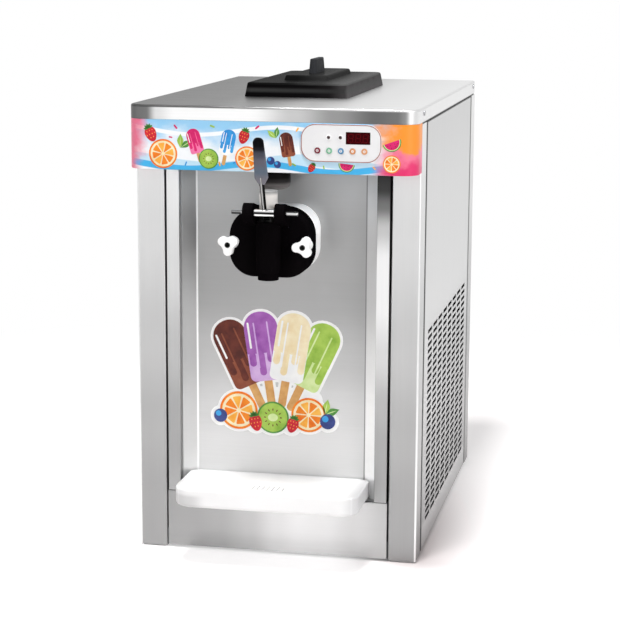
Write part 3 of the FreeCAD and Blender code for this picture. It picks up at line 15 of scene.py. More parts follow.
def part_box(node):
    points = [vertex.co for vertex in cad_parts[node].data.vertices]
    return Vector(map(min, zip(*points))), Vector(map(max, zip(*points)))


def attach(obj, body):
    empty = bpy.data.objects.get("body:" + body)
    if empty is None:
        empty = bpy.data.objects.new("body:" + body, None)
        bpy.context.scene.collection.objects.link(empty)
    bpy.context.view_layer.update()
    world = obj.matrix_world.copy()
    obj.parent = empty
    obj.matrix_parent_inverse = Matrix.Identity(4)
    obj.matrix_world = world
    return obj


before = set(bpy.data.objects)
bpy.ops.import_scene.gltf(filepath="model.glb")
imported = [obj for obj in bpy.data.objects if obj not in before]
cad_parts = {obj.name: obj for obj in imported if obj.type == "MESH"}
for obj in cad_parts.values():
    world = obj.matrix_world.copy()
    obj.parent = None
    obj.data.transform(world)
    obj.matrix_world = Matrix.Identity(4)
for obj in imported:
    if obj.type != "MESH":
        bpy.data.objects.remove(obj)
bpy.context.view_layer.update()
LOG = logging.getLogger("soft_serve_machine")

Mesh = bmesh.types.BMesh
Material = bpy.types.Material
Socket = bpy.types.NodeSocket
Pair = tuple[float, float]
Colour = tuple[float, float, float]
Levels = tuple[Pair, ...]
Stops = tuple[tuple[float, Colour], ...]

SCREEN_WHITE = 255.0
# Nearly all of a noise lies in the usual range, and all but its rare peaks in the wide one.
USUAL_NOISE: Pair = (0.3, 0.7)
WIDE_NOISE: Pair = (0.25, 0.75)
GRAIN_DEPTH = 0.0003
FILM_SPECULAR = 0.3
FILM_RELIEF: Pair = (0.03, 0.0001)
SHARP_ANGLE = math.radians(35.0)
NEARLY_HALF = 0.499
NEARLY_ALL = 0.999
CORNER_STEPS = 7
SEED_SIDES = 10
RIGHTWARDS: Colour = (1.0, 0.0, 0.0)
UPWARDS: Colour = (0.0, 0.0, 1.0)


class Axis(Enum):
    """A direction of the machine's frame."""

    X = 0
    Y = 1
    Z = 2


class Body(Enum):
    """The moving bodies that new pieces ride on."""

    CABINET = "cabinet"
    POWER = "power_key"
    WASH = "wash_key"
    CHILL = "chill_key"
    MINUS = "minus_key"
    PLUS = "plus_key"


def linear(level: float) -> float:
    """Turns a screen level into the light that it stands for, by the sRGB curve.

    Args:
        level: The level as it reads on screen, from 0 to 255.

    Returns:
        The light from 0 to 1.
    """
    share = level / SCREEN_WHITE
    return share / 12.92 if share <= 0.04045 else ((share + 0.055) / 1.055) ** 2.4


def paint(colour: Colour) -> tuple[float, float, float, float]:
    """Gives a screen colour as the four numbers of a colour socket."""
    return (*(linear(level) for level in colour), 1.0)


def darker(colour: Colour, share: float) -> Colour:
    """Gives a share of a screen colour's levels."""
    return tuple(level * share for level in colour)


def short_of(edge: float, gaps: Pair) -> Pair:
    """Gives the two places that lie those gaps short of an edge, or past it for gaps below zero."""
    return edge - gaps[0], edge - gaps[1]


class Graph:
    """The node tree of one material, with short calls for the nodes that the finishes share."""

    def __init__(self, name: str) -> None:
        """Makes the material and its shader.

        Args:
            name: The material's name.
        """
        self.material = bpy.data.materials.new("finish_" + name)
        self.material.use_nodes = True
        self.tree = self.material.node_tree
        self.tree.nodes.clear()
        self.shader = self.add("ShaderNodeBsdfPrincipled")
        self.output = self.add("ShaderNodeOutputMaterial").inputs["Surface"]
        self.link(self.shader.outputs["BSDF"], self.output)
        self.place = self.add("ShaderNodeTexCoord").outputs["Object"]
        self.parts = self.add("ShaderNodeSeparateXYZ")
        self.link(self.place, self.parts.inputs[0])

    def add(self, kind: str) -> bpy.types.Node:
        """Adds a node of that kind."""
        return self.tree.nodes.new(kind)

    def link(self, source: Socket, target: Socket) -> None:
        """Joins an output to an input."""
        self.tree.links.new(source, target)

    def feed(self, value: object, target: Socket) -> None:
        """Gives an input its value.

        Args:
            value: A socket, a number or a colour.
            target: The input.
        """
        if isinstance(value, Socket):
            self.link(value, target)
        else:
            target.default_value = value

    def along(self, axis: Axis) -> Socket:
        """Gives the place along one axis, in metres."""
        return self.parts.outputs[axis.value]

    def measure(self, operation: str, direction: Colour = (0.0, 0.0, 0.0)) -> Socket:
        """Works out one number from the place, in metres.

        Args:
            operation: Blender's name for it.
            direction: The direction that it is measured along, if any.

        Returns:
            The number's socket.
        """
        node = self.add("ShaderNodeVectorMath")
        node.operation = operation
        self.link(self.place, node.inputs[0])
        node.inputs[1].default_value = Vector(direction).normalized()
        return node.outputs["Value"]

    def span(self, value: Socket, low: float, high: float, bottom: float = 0.0, top: float = 1.0,
             smooth: bool = False) -> Socket:
        """Maps a range of a value to another range and holds it there.

        Args:
            value: The value's socket.
            low: Where the range begins.
            high: Where the range ends.
            bottom: The result at the beginning.
            top: The result at the end.
            smooth: Whether the ends are eased.

        Returns:
            The result's socket.
        """
        node = self.add("ShaderNodeMapRange")
        node.interpolation_type = "SMOOTHSTEP" if smooth else "LINEAR"
        self.link(value, node.inputs["Value"])
        for name, number in (("From Min", low), ("From Max", high), ("To Min", bottom), ("To Max", top)):
            node.inputs[name].default_value = number
        return node.outputs["Result"]

    def noise(self, scale: float | Colour, detail: float) -> Socket:
        """Gives a cloudy value from 0 to 1.

        Args:
            scale: The clouds for each metre, everywhere or along X, Y and Z.
            detail: How many finer clouds are laid over them.

        Returns:
            The value's socket.
        """
        mapping = self.add("ShaderNodeMapping")
        self.link(self.place, mapping.inputs["Vector"])
        mapping.inputs["Scale"].default_value = scale if isinstance(scale, tuple) else (scale,) * 3
        node = self.add("ShaderNodeTexNoise")
        self.link(mapping.outputs["Vector"], node.inputs["Vector"])
        node.inputs["Scale"].default_value = 1.0
        node.inputs["Detail"].default_value = detail
        return node.outputs["Fac"]

    def vary(self, noise: Socket, bottom: float = 0.0, top: float = 1.0) -> Socket:
        """Maps the usual values of a noise to a range."""
        return self.span(noise, *USUAL_NOISE, bottom, top)

    def ramp(self, value: Socket, stops: Stops) -> Socket:
        """Runs through colours, which ease into each other, as a value goes from 0 to 1.

        Args:
            value: The value's socket.
            stops: Each place and the screen colour there.

        Returns:
            The colour's socket.
        """
        node = self.add("ShaderNodeValToRGB")
        node.color_ramp.interpolation = "EASE"
        elements = node.color_ramp.elements
        while len(elements) < len(stops):
            elements.new(0.5)
        for element, (place, colour) in zip(elements, stops):
            element.position = place
            element.color = paint(colour)
        self.link(value, node.inputs["Fac"])
        return node.outputs["Color"]

    def mix(self, share: object, first: object, second: object, blend: str = "MIX") -> Socket:
        """Mixes two colours.

        Args:
            share: How much of the second there is.
            first: A colour or its socket.
            second: A colour or its socket.
            blend: Blender's name for the way of mixing.

        Returns:
            The colour's socket.
        """
        node = self.add("ShaderNodeMix")
        node.data_type = "RGBA"
        node.blend_type = blend
        self.feed(share, node.inputs["Factor"])
        colours = [socket for socket in node.inputs if socket.type == "RGBA"]
        self.feed(first, colours[0])
        self.feed(second, colours[1])
        return next(socket for socket in node.outputs if socket.type == "RGBA")

    def sum(self, operation: str, first: object, second: object = 0.0) -> Socket:
        """Works out one step of arithmetic.

        Args:
            operation: Blender's name for it.
            first: A number or its socket.
            second: A number or its socket, where the step takes two.

        Returns:
            The result's socket.
        """
        node = self.add("ShaderNodeMath")
        node.operation = operation
        self.feed(first, node.inputs[0])
        self.feed(second, node.inputs[1])
        return node.outputs[0]

    def bump(self, height: Socket, strength: float, depth: float) -> None:
        """Gives the surface a fine relief.

        Args:
            height: The relief's socket, from 0 to 1.
            strength: How much of it shows.
            depth: Its depth in metres.
        """
        node = self.add("ShaderNodeBump")
        node.inputs["Strength"].default_value = strength
        node.inputs["Distance"].default_value = depth
        self.link(height, node.inputs["Height"])
        self.link(node.outputs["Normal"], self.shader.inputs["Normal"])

    def fix(self, **values: object) -> None:
        """Sets numbers of the shader that are the same all over, by the names of its sockets."""
        for name, value in values.items():
            self.shader.inputs[name.replace("_", " ")].default_value = value

    def surface(self, colour: Socket, roughness: Socket, **values: object) -> None:
        """Gives the shader its colour and roughness.

        Args:
            colour: The colour's socket.
            roughness: The roughness's socket.
            values: The numbers that are the same all over.
        """
        self.link(colour, self.shader.inputs["Base Color"])
        self.link(roughness, self.shader.inputs["Roughness"])
        self.fix(**values)


class Finish(Protocol):
    """Anything that can make a material."""

    name: str

    def build(self) -> Material:
        """Makes the material."""


@dataclass(frozen=True)
class Tone:
    """How bright a surface reads from one place along an axis to another, in screen levels."""

    run: Axis
    start: float
    end: float
    levels: Levels

    @classmethod
    def even(cls, level: float) -> "Tone":
        """Makes a tone that is the same all over."""
        return cls(Axis.Z, 0.0, 1.0, ((0.0, level), (1.0, level)))

    def colour(self, graph: Graph) -> Socket:
        """Gives the tone as a colour socket of that graph."""
        share = graph.span(graph.along(self.run), self.start, self.end)
        return graph.ramp(share, tuple((place, (level, level, level)) for place, level in self.levels))


@dataclass(frozen=True)
class Zone:
    """A part of a surface that fades in between two places along an axis, mostly with its own tone.

    With a centre, the places are counted from it to both sides. With a lean, they also grow towards the
    front.
    """

    across: Axis
    fade: Pair
    tone: Tone | None = None
    centre: float | None = None
    lean: float = 0.0

    def share(self, graph: Graph) -> Socket:
        """Finds how much of the zone covers a place.

        Args:
            graph: The material's graph.

        Returns:
            The share's socket, from 0 to 1.
        """
        place = graph.along(self.across)
        if self.centre is not None:
            place = graph.sum("ABSOLUTE", graph.sum("SUBTRACT", place, self.centre))
        if self.lean:
            place = graph.sum("SUBTRACT", place, graph.sum("MULTIPLY", graph.along(Axis.Y), self.lean))
        return graph.span(place, *self.fade, smooth=True)


def covered(graph: Graph, colour: Socket, zones: tuple[Zone, ...]) -> Socket:
    """Lays the tones of zones over a colour, one after another.

    Args:
        graph: The material's graph.
        colour: The colour's socket.
        zones: The zones.

    Returns:
        The socket of what shows.
    """
    for zone in zones:
        colour = graph.mix(zone.share(graph), colour, zone.tone.colour(graph))
    return colour


@dataclass(frozen=True)
class BrushedSteel:
    """Stainless sheet with brush marks along one axis and a slow change of tone.

    Lines and bands are counted for each metre across the grain and along it.
    """

    name: str
    tone: Tone
    zones: tuple[Zone, ...] = ()
    grain: Axis = Axis.Z
    metallic: float = 1.0
    roughness: Pair = (0.30, 0.44)
    streaks: float = 0.02
    cast: float = 0.012
    lines: Pair = (1400.0, 9.0)
    bands: Pair = (90.0, 2.0)
    relief: Pair = (0.05, 0.0002)

    def marks(self, graph: Graph, counts: Pair, detail: float) -> Socket:
        """Gives a cloudy value that is drawn out along the grain.

        Args:
            graph: The material's graph.
            counts: The clouds for each metre across the grain and along it.
            detail: How many finer clouds are laid over them.

        Returns:
            The value's socket.
        """
        return graph.noise(tuple(counts[axis is self.grain] for axis in Axis), detail)

    def build(self) -> Material:
        """Makes the material.

        Returns:
            The material.
        """
        graph = Graph(self.name)
        lines = self.marks(graph, self.lines, detail=3.0)
        bands = self.marks(graph, self.bands, detail=2.0)
        shade = graph.vary(lines, 1.0 - self.streaks, 1.0 + self.streaks)
        cast = graph.span(bands, *WIDE_NOISE, 1.0 - self.cast, 1.0 + self.cast)
        colour = covered(graph, self.tone.colour(graph), self.zones)
        colour = graph.mix(1.0, colour, graph.sum("MULTIPLY", shade, cast), "MULTIPLY")
        graph.surface(colour, graph.span(lines, *WIDE_NOISE, *self.roughness), Metallic=self.metallic)
        graph.bump(lines, *self.relief)
        return graph.material


@dataclass(frozen=True)
class Bore:
    """A round hole along Y whose inside carries painted shade."""

    x: float
    z: float
    radius: float
    blur: float = 0.0003
    colour: Colour = (34, 32, 31)

    def share(self, graph: Graph) -> Socket:
        """Finds how much of the hole covers a place.

        Args:
            graph: The material's graph.

        Returns:
            The share's socket, from 0 to 1.
        """
        squares = []
        for axis, middle in ((Axis.X, self.x), (Axis.Z, self.z)):
            away = graph.sum("ABSOLUTE", graph.sum("SUBTRACT", graph.along(axis), middle))
            squares.append(graph.sum("POWER", away, 2.0))
        distance = graph.sum("SQRT", graph.sum("ADD", *squares))
        return graph.span(distance, self.radius + self.blur, self.radius)


@dataclass(frozen=True)
class Moulded:
    """A plastic, rubber, foam, painted or cast surface with slow mottling and a fine grain."""

    name: str
    colour: Colour
    shade: Colour
    roughness: Pair = (0.35, 0.5)
    metallic: float = 0.0
    specular: float = 0.4
    mottling: float = 14.0
    grain: float = 900.0
    relief: float = 0.08
    clouded: float = 0.75
    speck_range: Pair = (0.4, 0.7)
    bore: Bore | None = None

    def build(self) -> Material:
        """Makes the material.

        Returns:
            The material.
        """
        graph = Graph(self.name)
        clouds, specks = graph.noise(self.mottling, detail=4.0), graph.noise(self.grain, detail=2.0)
        worn = graph.sum("ADD", graph.vary(clouds, 0.0, self.clouded),
                         graph.span(specks, *self.speck_range, 0.0, 1.0 - self.clouded))
        colour = graph.mix(worn, paint(self.colour), paint(self.shade))
        if self.bore is not None:
            colour = graph.mix(self.bore.share(graph), colour, paint(self.bore.colour))
        graph.surface(colour, graph.vary(clouds, *self.roughness), Metallic=self.metallic,
                      Specular_IOR_Level=self.specular)
        graph.bump(specks, self.relief, GRAIN_DEPTH)
        return graph.material


@dataclass(frozen=True)
class Graded:
    """A moulded surface whose colour changes along a direction, with a painted glow where its glow zones
    meet.
    """

    name: str
    direction: Colour
    start: float
    end: float
    stops: Stops
    roughness: Pair = (0.3, 0.42)
    specular: float = 0.4
    grain: float = 1100.0
    zones: tuple[Zone, ...] = ()
    painted_glow_zones: tuple[Zone, ...] = ()
    lit: float = 0.0
    mottling: float = 30.0
    drift: float = 0.0008
    relief: float = 0.08

    def build(self) -> Material:
        """Makes the material.

        Returns:
            The material.
        """
        graph = Graph(self.name)
        specks, clouds = graph.noise(self.grain, detail=2.0), graph.noise(self.mottling, detail=3.0)
        place = graph.measure("DOT_PRODUCT", self.direction)
        place = graph.sum("ADD", place, graph.vary(clouds, -self.drift, self.drift))
        colour = graph.ramp(graph.span(place, self.start, self.end), self.stops)
        colour = covered(graph, colour, self.zones)
        graph.surface(colour, graph.vary(specks, *self.roughness), Specular_IOR_Level=self.specular)
        if self.painted_glow_zones:
            share = self.lit
            for zone in self.painted_glow_zones:
                share = graph.sum("MULTIPLY", zone.share(graph), share)
            graph.link(colour, graph.shader.inputs["Emission Color"])
            graph.link(share, graph.shader.inputs["Emission Strength"])
        graph.bump(specks, self.relief, GRAIN_DEPTH)
        return graph.material


@dataclass(frozen=True)
class Ink:
    """A printed colour under a clear film, with soft patches of a deeper shade and a fine dot screen."""

    name: str
    colour: Colour
    deep: Colour
    roughness: Pair = (0.34, 0.46)
    patches: float = 55.0
    patch_range: Pair = (0.35, 0.68)
    patch_share: float = 0.85
    dots: float = 1800.0
    dot_range: Pair = (0.35, 0.65)

    def build(self) -> Material:
        """Makes the material.

        Returns:
            The material.
        """
        graph = Graph(self.name)
        clouds, dots = graph.noise(self.patches, detail=3.0), graph.noise(self.dots, detail=1.0)
        share = graph.sum("ADD", graph.span(clouds, *self.patch_range, 0.0, self.patch_share),
                          graph.span(dots, *self.dot_range, 0.0, 1.0 - self.patch_share))
        colour = graph.mix(share, paint(self.colour), paint(self.deep))
        graph.surface(colour, graph.vary(clouds, *self.roughness), Specular_IOR_Level=FILM_SPECULAR)
        graph.bump(dots, *FILM_RELIEF)
        return graph.material


@dataclass(frozen=True)
class Glow:
    """A lit or unlit lamp face behind tinted plastic."""

    name: str
    colour: Colour
    shade: Colour
    strength: float
    roughness: Pair = (0.2, 0.32)
    specular: float = 0.02
    mottling: float = 700.0

    def build(self) -> Material:
        """Makes the material.

        Returns:
            The material.
        """
        graph = Graph(self.name)
        clouds = graph.noise(self.mottling, detail=2.0)
        colour = graph.mix(graph.vary(clouds), paint(self.colour), paint(self.shade))
        graph.surface(colour, graph.vary(clouds, *self.roughness), Emission_Color=paint(self.colour),
                      Emission_Strength=self.strength, Specular_IOR_Level=self.specular)
        return graph.material


@dataclass(frozen=True)
class Ribbon:
    """A wavy stripe of the film. All but the wave's length and start are shares of the film's height."""

    colour: Colour
    middle: float
    swing: float
    wave: float
    start: float
    half_width: float
    solid: float = 0.82

    def share(self, graph: Graph, height: Socket) -> Socket:
        """Finds how much of the ribbon covers a place.

        Args:
            graph: The material's graph.
            height: The place's height, as a share of the film's.

        Returns:
            The share's socket, from 0 to 1.
        """
        angle = graph.sum("ADD", graph.sum("MULTIPLY", graph.along(Axis.X), math.tau / self.wave), self.start)
        swing = graph.sum("MULTIPLY", graph.sum("SINE", angle), self.swing)
        above = graph.sum("SUBTRACT", graph.sum("SUBTRACT", height, self.middle), swing)
        away = graph.sum("ABSOLUTE", above)
        return graph.span(away, self.half_width, self.half_width * self.solid, smooth=True)


@dataclass(frozen=True)
class PrintFilm:
    """The fascia's printed film: pale sky, long ribbons and a blush of fruit colour at both ends."""

    name: str
    low: float
    high: float
    half_width: float
    ground: Colour = (246, 249, 252)
    sky: Colour = (150, 205, 240)
    blush: Colour = (240, 120, 150)
    peach: Colour = (250, 150, 50)
    berry: Colour = (226, 52, 110)
    ribbons: tuple[Ribbon, ...] = (Ribbon((196, 228, 246), 0.16, 0.10, 0.31, 0.4, 0.13),
                                   Ribbon((70, 178, 232), 0.10, 0.07, 0.23, 2.0, 0.07),
                                   Ribbon((246, 249, 252), 0.80, 0.09, 0.27, 1.2, 0.045))
    clouds: Colour = (26.0, 26.0, 34.0)
    drift: float = 0.018
    lift: float = 0.2
    sky_range: Pair = (0.35, 0.95)
    left_end: Pair = (0.042, 0.006)
    right_end: Pair = (0.075, 0.035)
    end_range: Pair = (0.1, 0.85)
    dots: float = 1700.0
    dot_shade: float = 0.965
    roughness: Pair = (0.3, 0.42)

    def build(self) -> Material:
        """Makes the material.

        Returns:
            The material.
        """
        graph = Graph(self.name)
        clouds, dots = graph.noise(self.clouds, detail=4.0), graph.noise(self.dots, detail=1.0)
        across = graph.sum("ADD", graph.along(Axis.X), graph.vary(clouds, -self.drift, self.drift))
        height = graph.span(graph.along(Axis.Z), self.low, self.high)
        cloudy = graph.sum("ADD", height, graph.vary(clouds, -self.lift, self.lift))
        rising = graph.span(cloudy, *self.sky_range, smooth=True)
        colour = graph.mix(rising, paint(self.ground), paint(self.sky))
        for ribbon in self.ribbons:
            colour = graph.mix(ribbon.share(graph, height), colour, paint(ribbon.colour))
        left = graph.span(across, *(gap - self.half_width for gap in self.left_end), smooth=True)
        colour = graph.mix(left, colour, paint(self.blush))
        right = graph.span(across, *short_of(self.half_width, self.right_end), smooth=True)
        fruit = ((0.0, self.berry), (0.45, self.blush), (0.62, self.peach), (1.0, self.peach))
        colour = graph.mix(right, colour, graph.ramp(graph.span(cloudy, *self.end_range), fruit))
        colour = graph.mix(1.0, colour, graph.vary(dots, self.dot_shade, 1.0), "MULTIPLY")
        graph.surface(colour, graph.vary(clouds, *self.roughness), Specular_IOR_Level=FILM_SPECULAR)
        graph.bump(dots, *FILM_RELIEF)
        return graph.material


@cache
def material_of(finish: Finish) -> Material:
    """Gives a finish's material, made the first time that it is asked for."""
    return finish.build()


def dress(finish: Finish, *nodes: str) -> None:
    """Gives carried-over nodes a finish.

    Args:
        finish: The finish.
        nodes: The nodes' names.
    """
    for name in nodes:
        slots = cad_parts[name].data.materials
        slots.clear()
        slots.append(material_of(finish))
        LOG.info("dressed %s in %s", name, finish.name)


def mesh_data(name: str, mesh: Mesh) -> bpy.types.Mesh:
    """Turns a finished mesh into mesh data, and uses it up.

    Args:
        name: The data's name.
        mesh: The mesh.

    Returns:
        The data.
    """
    data = bpy.data.meshes.new(name)
    mesh.to_mesh(data)
    mesh.free()
    return data


def show(name: str, data: bpy.types.ID) -> bpy.types.Object:
    """Puts a mesh, a lamp or a camera into the scene.

    Args:
        name: The object's name.
        data: What it holds.

    Returns:
        The object, at the origin.
    """
    made = bpy.data.objects.new(name, data)
    bpy.context.scene.collection.objects.link(made)
    return made


def piece(name: str, mesh: Mesh, finishes: tuple[Finish, ...], body: Body) -> None:
    """Turns a finished mesh into a piece that rides on a body.

    Args:
        name: The piece's name.
        mesh: The mesh, in place, which is used up.
        finishes: The finishes, in the order of the faces' material numbers.
        body: The body that it moves with.
    """
    data = mesh_data(name, mesh)
    data.shade_smooth()
    data.set_sharp_from_angle(angle=SHARP_ANGLE)
    for finish in finishes:
        data.materials.append(material_of(finish))
    made = show(name, data)
    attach(made, body.value)
    LOG.info("built %s with %d faces", name, len(data.polygons))


def disc(radius: float, segments: int = 32) -> Mesh:
    """Makes a flat disc.

    Args:
        radius: Its radius.
        segments: How many sides it has.

    Returns:
        The disc.
    """
    mesh = bmesh.new()
    bmesh.ops.create_circle(mesh, cap_ends=True, radius=radius, segments=segments)
    return mesh


def oval(width: float, height: float, segments: int = 24) -> Mesh:
    """Makes a flat oval.

    Args:
        width: Its width.
        height: Its height.
        segments: How many sides it has.

    Returns:
        The oval.
    """
    mesh = disc(0.5, segments)
    bmesh.ops.scale(mesh, vec=(width, height, 1.0), verts=mesh.verts[:])
    return mesh


def plate(width: float, height: float, top: float, bottom: float | None = None) -> Mesh:
    """Makes a flat upright shape with rounded corners.

    Args:
        width: Its width.
        height: Its height.
        top: The radius of its upper corners.
        bottom: The radius of its lower corners, if it is another.

    Returns:
        The shape.
    """
    mesh = bmesh.new()
    bmesh.ops.create_grid(mesh, x_segments=1, y_segments=1, size=0.5)
    bmesh.ops.scale(mesh, vec=(width, height, 1.0), verts=mesh.verts[:])
    for radius, side in ((top, 1.0), (top if bottom is None else bottom, -1.0)):
        corners = [v for v in mesh.verts if side * v.co.y > NEARLY_HALF * height]
        offset = min(radius, NEARLY_HALF * width, NEARLY_HALF * height)
        bmesh.ops.bevel(mesh, geom=corners, offset=offset, offset_type="OFFSET", affect="VERTICES",
                        segments=CORNER_STEPS, profile=0.5, material=-1)
    return mesh


def slice_wedge(radius: float, width: float) -> Mesh:
    """Makes one segment of a fruit slice, with its point at the middle.

    Args:
        radius: The slice's radius.
        width: The segment's width at its rim.

    Returns:
        The segment.
    """
    size, side, lift, corner = (radius * share for share in (0.55, 0.95, 0.62, 0.12))
    mesh = disc(size, segments=3)
    bmesh.ops.rotate(mesh, matrix=Matrix.Rotation(math.pi, 3, "Z"), verts=mesh.verts[:])
    bmesh.ops.scale(mesh, vec=(width / side, 1.0, 1.0), verts=mesh.verts[:])
    bmesh.ops.translate(mesh, vec=(0.0, lift, 0.0), verts=mesh.verts[:])
    bmesh.ops.bevel(mesh, geom=mesh.verts[:], offset=corner, offset_type="OFFSET", affect="VERTICES",
                    segments=4, profile=0.5, material=-1)
    return mesh


def half_disc(radius: float) -> Mesh:
    """Makes the lower half of a flat disc.

    Args:
        radius: Its radius.

    Returns:
        The half disc.
    """
    mesh = disc(radius, segments=40)
    bmesh.ops.bisect_plane(mesh, geom=mesh.verts[:] + mesh.edges[:] + mesh.faces[:], plane_co=(0.0, 0.0, 0.0),
                           plane_no=(0.0, 1.0, 0.0), clear_outer=True)
    return mesh


def leaf(length: float, width: float, taper: float = 1.6) -> Mesh:
    """Makes a flat pointed leaf that stands on its stalk end.

    Args:
        length: Its length.
        width: Its width.
        taper: How late it narrows to its ends.

    Returns:
        The leaf.
    """
    mesh = disc(0.5, segments=24)
    for vert in mesh.verts:
        vert.co.x *= width * (1.0 - abs(2.0 * vert.co.y) ** taper)
        vert.co.y = (vert.co.y + 0.5) * length
    bmesh.ops.remove_doubles(mesh, verts=mesh.verts[:], dist=1e-6)
    return mesh


def strawberry(width: float, height: float, shoulder: float = 0.35, taper: float = 0.34) -> Mesh:
    """Makes a flat berry shape that narrows to its tip.

    Args:
        width: Its width.
        height: Its height.
        shoulder: Where it begins to narrow, as a share of its height above the middle.
        taper: How fast it narrows.

    Returns:
        The berry.
    """
    mesh = disc(0.5, segments=36)
    for vert in mesh.verts:
        vert.co.x *= width * (1.0 - taper * max(0.0, shoulder - vert.co.y))
        vert.co.y *= height
    return mesh


def band(width: float, height: float, corner: float, thickness: float) -> Mesh:
    """Makes a flat frame with rounded corners.

    Args:
        width: Its width outside.
        height: Its height outside.
        corner: The radius of its corners outside.
        thickness: How wide the frame is.

    Returns:
        The frame.
    """
    mesh = plate(width, height, corner)
    middle = mesh.faces[:]
    bmesh.ops.inset_region(mesh, faces=middle, thickness=thickness, use_boundary=True, use_even_offset=True)
    bmesh.ops.delete(mesh, geom=middle, context="FACES_ONLY")
    return mesh


def dome(radius: float, rise: float, foot: float) -> Mesh:
    """Makes a low closed dome.

    Args:
        radius: Its radius.
        rise: Its height, as a share of its radius.
        foot: How far its foot stands above the face.

    Returns:
        The dome.
    """
    mesh = bmesh.new()
    bmesh.ops.create_uvsphere(mesh, u_segments=20, v_segments=12, radius=radius)
    bmesh.ops.bisect_plane(mesh, geom=mesh.verts[:] + mesh.edges[:] + mesh.faces[:], plane_co=(0.0, 0.0, 0.0),
                           plane_no=(0.0, 0.0, 1.0), clear_inner=True)
    bmesh.ops.holes_fill(mesh, edges=[e for e in mesh.edges if e.is_boundary], sides=0)
    bmesh.ops.scale(mesh, vec=(1.0, 1.0, rise), verts=mesh.verts[:])
    bmesh.ops.translate(mesh, vec=(0.0, 0.0, foot), verts=mesh.verts[:])
    return mesh


def thicken(mesh: Mesh, height: float, edge: float = 0.0, sharp: float = 0.6) -> Mesh:
    """Raises flat faces into a closed plate.

    Args:
        mesh: The flat faces.
        height: The plate's thickness.
        edge: How far the upper edges are rounded.
        sharp: The least angle of an edge that is rounded, in radians.

    Returns:
        The same mesh.
    """
    bmesh.ops.recalc_face_normals(mesh, faces=mesh.faces[:])
    raised = bmesh.ops.extrude_face_region(mesh, geom=mesh.faces[:], use_keep_orig=True)["geom"]
    top = [item for item in raised if isinstance(item, bmesh.types.BMVert)]
    bmesh.ops.translate(mesh, vec=(0.0, 0.0, height), verts=top)
    bmesh.ops.recalc_face_normals(mesh, faces=mesh.faces[:])
    if edge > 0.0:
        upper = [e for e in mesh.edges if all(v.co.z > NEARLY_ALL * height for v in e.verts)]
        rim = [e for e in upper if e.is_manifold and e.calc_face_angle(0.0) > sharp]
        bmesh.ops.bevel(mesh, geom=rim, offset=edge, offset_type="OFFSET", affect="EDGES", segments=3,
                        profile=0.5, material=-1)
    return mesh


def slide(x: float, y: float) -> Matrix:
    """Gives a move in the plane of a flat shape."""
    return Matrix.Translation((x, y, 0.0))


def spin(degrees: float) -> Matrix:
    """Gives a turn to the left in the plane of a flat shape."""
    return Matrix.Rotation(math.radians(degrees), 4, "Z")


def to_front(x: float, y: float, z: float, turn: float = 0.0) -> Matrix:
    """Gives the move that stands a flat shape on an upright face that looks towards -Y.

    Args:
        x: Its middle across.
        y: The face.
        z: Its middle in height.
        turn: How far it leans to the left, in degrees.

    Returns:
        The matrix.
    """
    return Matrix.Translation((x, y, z)) @ Matrix.Rotation(math.pi / 2, 4, "X") @ spin(turn)


def join(target: Mesh, source: Mesh, place: Matrix, number: int = 0) -> None:
    """Adds one mesh to another at a place, with its own material number, and uses it up.

    Args:
        target: The mesh that grows.
        source: The mesh that is added.
        place: The move to its place.
        number: The material number of its faces.
    """
    source.transform(place)
    for face in source.faces:
        face.material_index = number
    data = mesh_data("joined", source)
    target.from_mesh(data)
    bpy.data.meshes.remove(data)


class Inks(Enum):
    """The colours of the print, each with its deeper shade."""

    WHITE = (250, 250, 248), (240, 241, 242)
    CREAM = (250, 238, 205), (238, 216, 168)
    TAN = (226, 176, 112), (196, 140, 78)
    CHOCOLATE = (110, 48, 34), (70, 26, 20)
    COCOA = (150, 84, 58), (122, 58, 40)
    PLUM = (176, 108, 190), (140, 70, 160)
    LILAC = (222, 190, 232), (200, 156, 216)
    LIME = (176, 208, 92), (132, 176, 60)
    MINT = (222, 238, 178), (196, 222, 138)
    LEAF = (92, 156, 70), (58, 120, 52)
    ORANGE = (246, 146, 36), (232, 104, 22)
    AMBER = (252, 192, 84), (248, 160, 50)
    RED = (222, 44, 56), (178, 20, 40)
    PINK = (244, 128, 176), (232, 84, 148)
    ROSE = (226, 40, 116), (196, 20, 92)
    BLUE = (70, 170, 230), (30, 128, 206)
    NAVY = (62, 76, 140), (38, 48, 104)

    def finish(self) -> Ink:
        """Gives the finish of the ink."""
        return Ink("ink_" + self.name.lower(), *self.value)


@dataclass(frozen=True)
class Spot:
    """Where a printed shape stands, its size, the layer that it starts on and its turn in degrees."""

    x: float
    z: float
    size: float
    level: int
    turn: float = 0.0


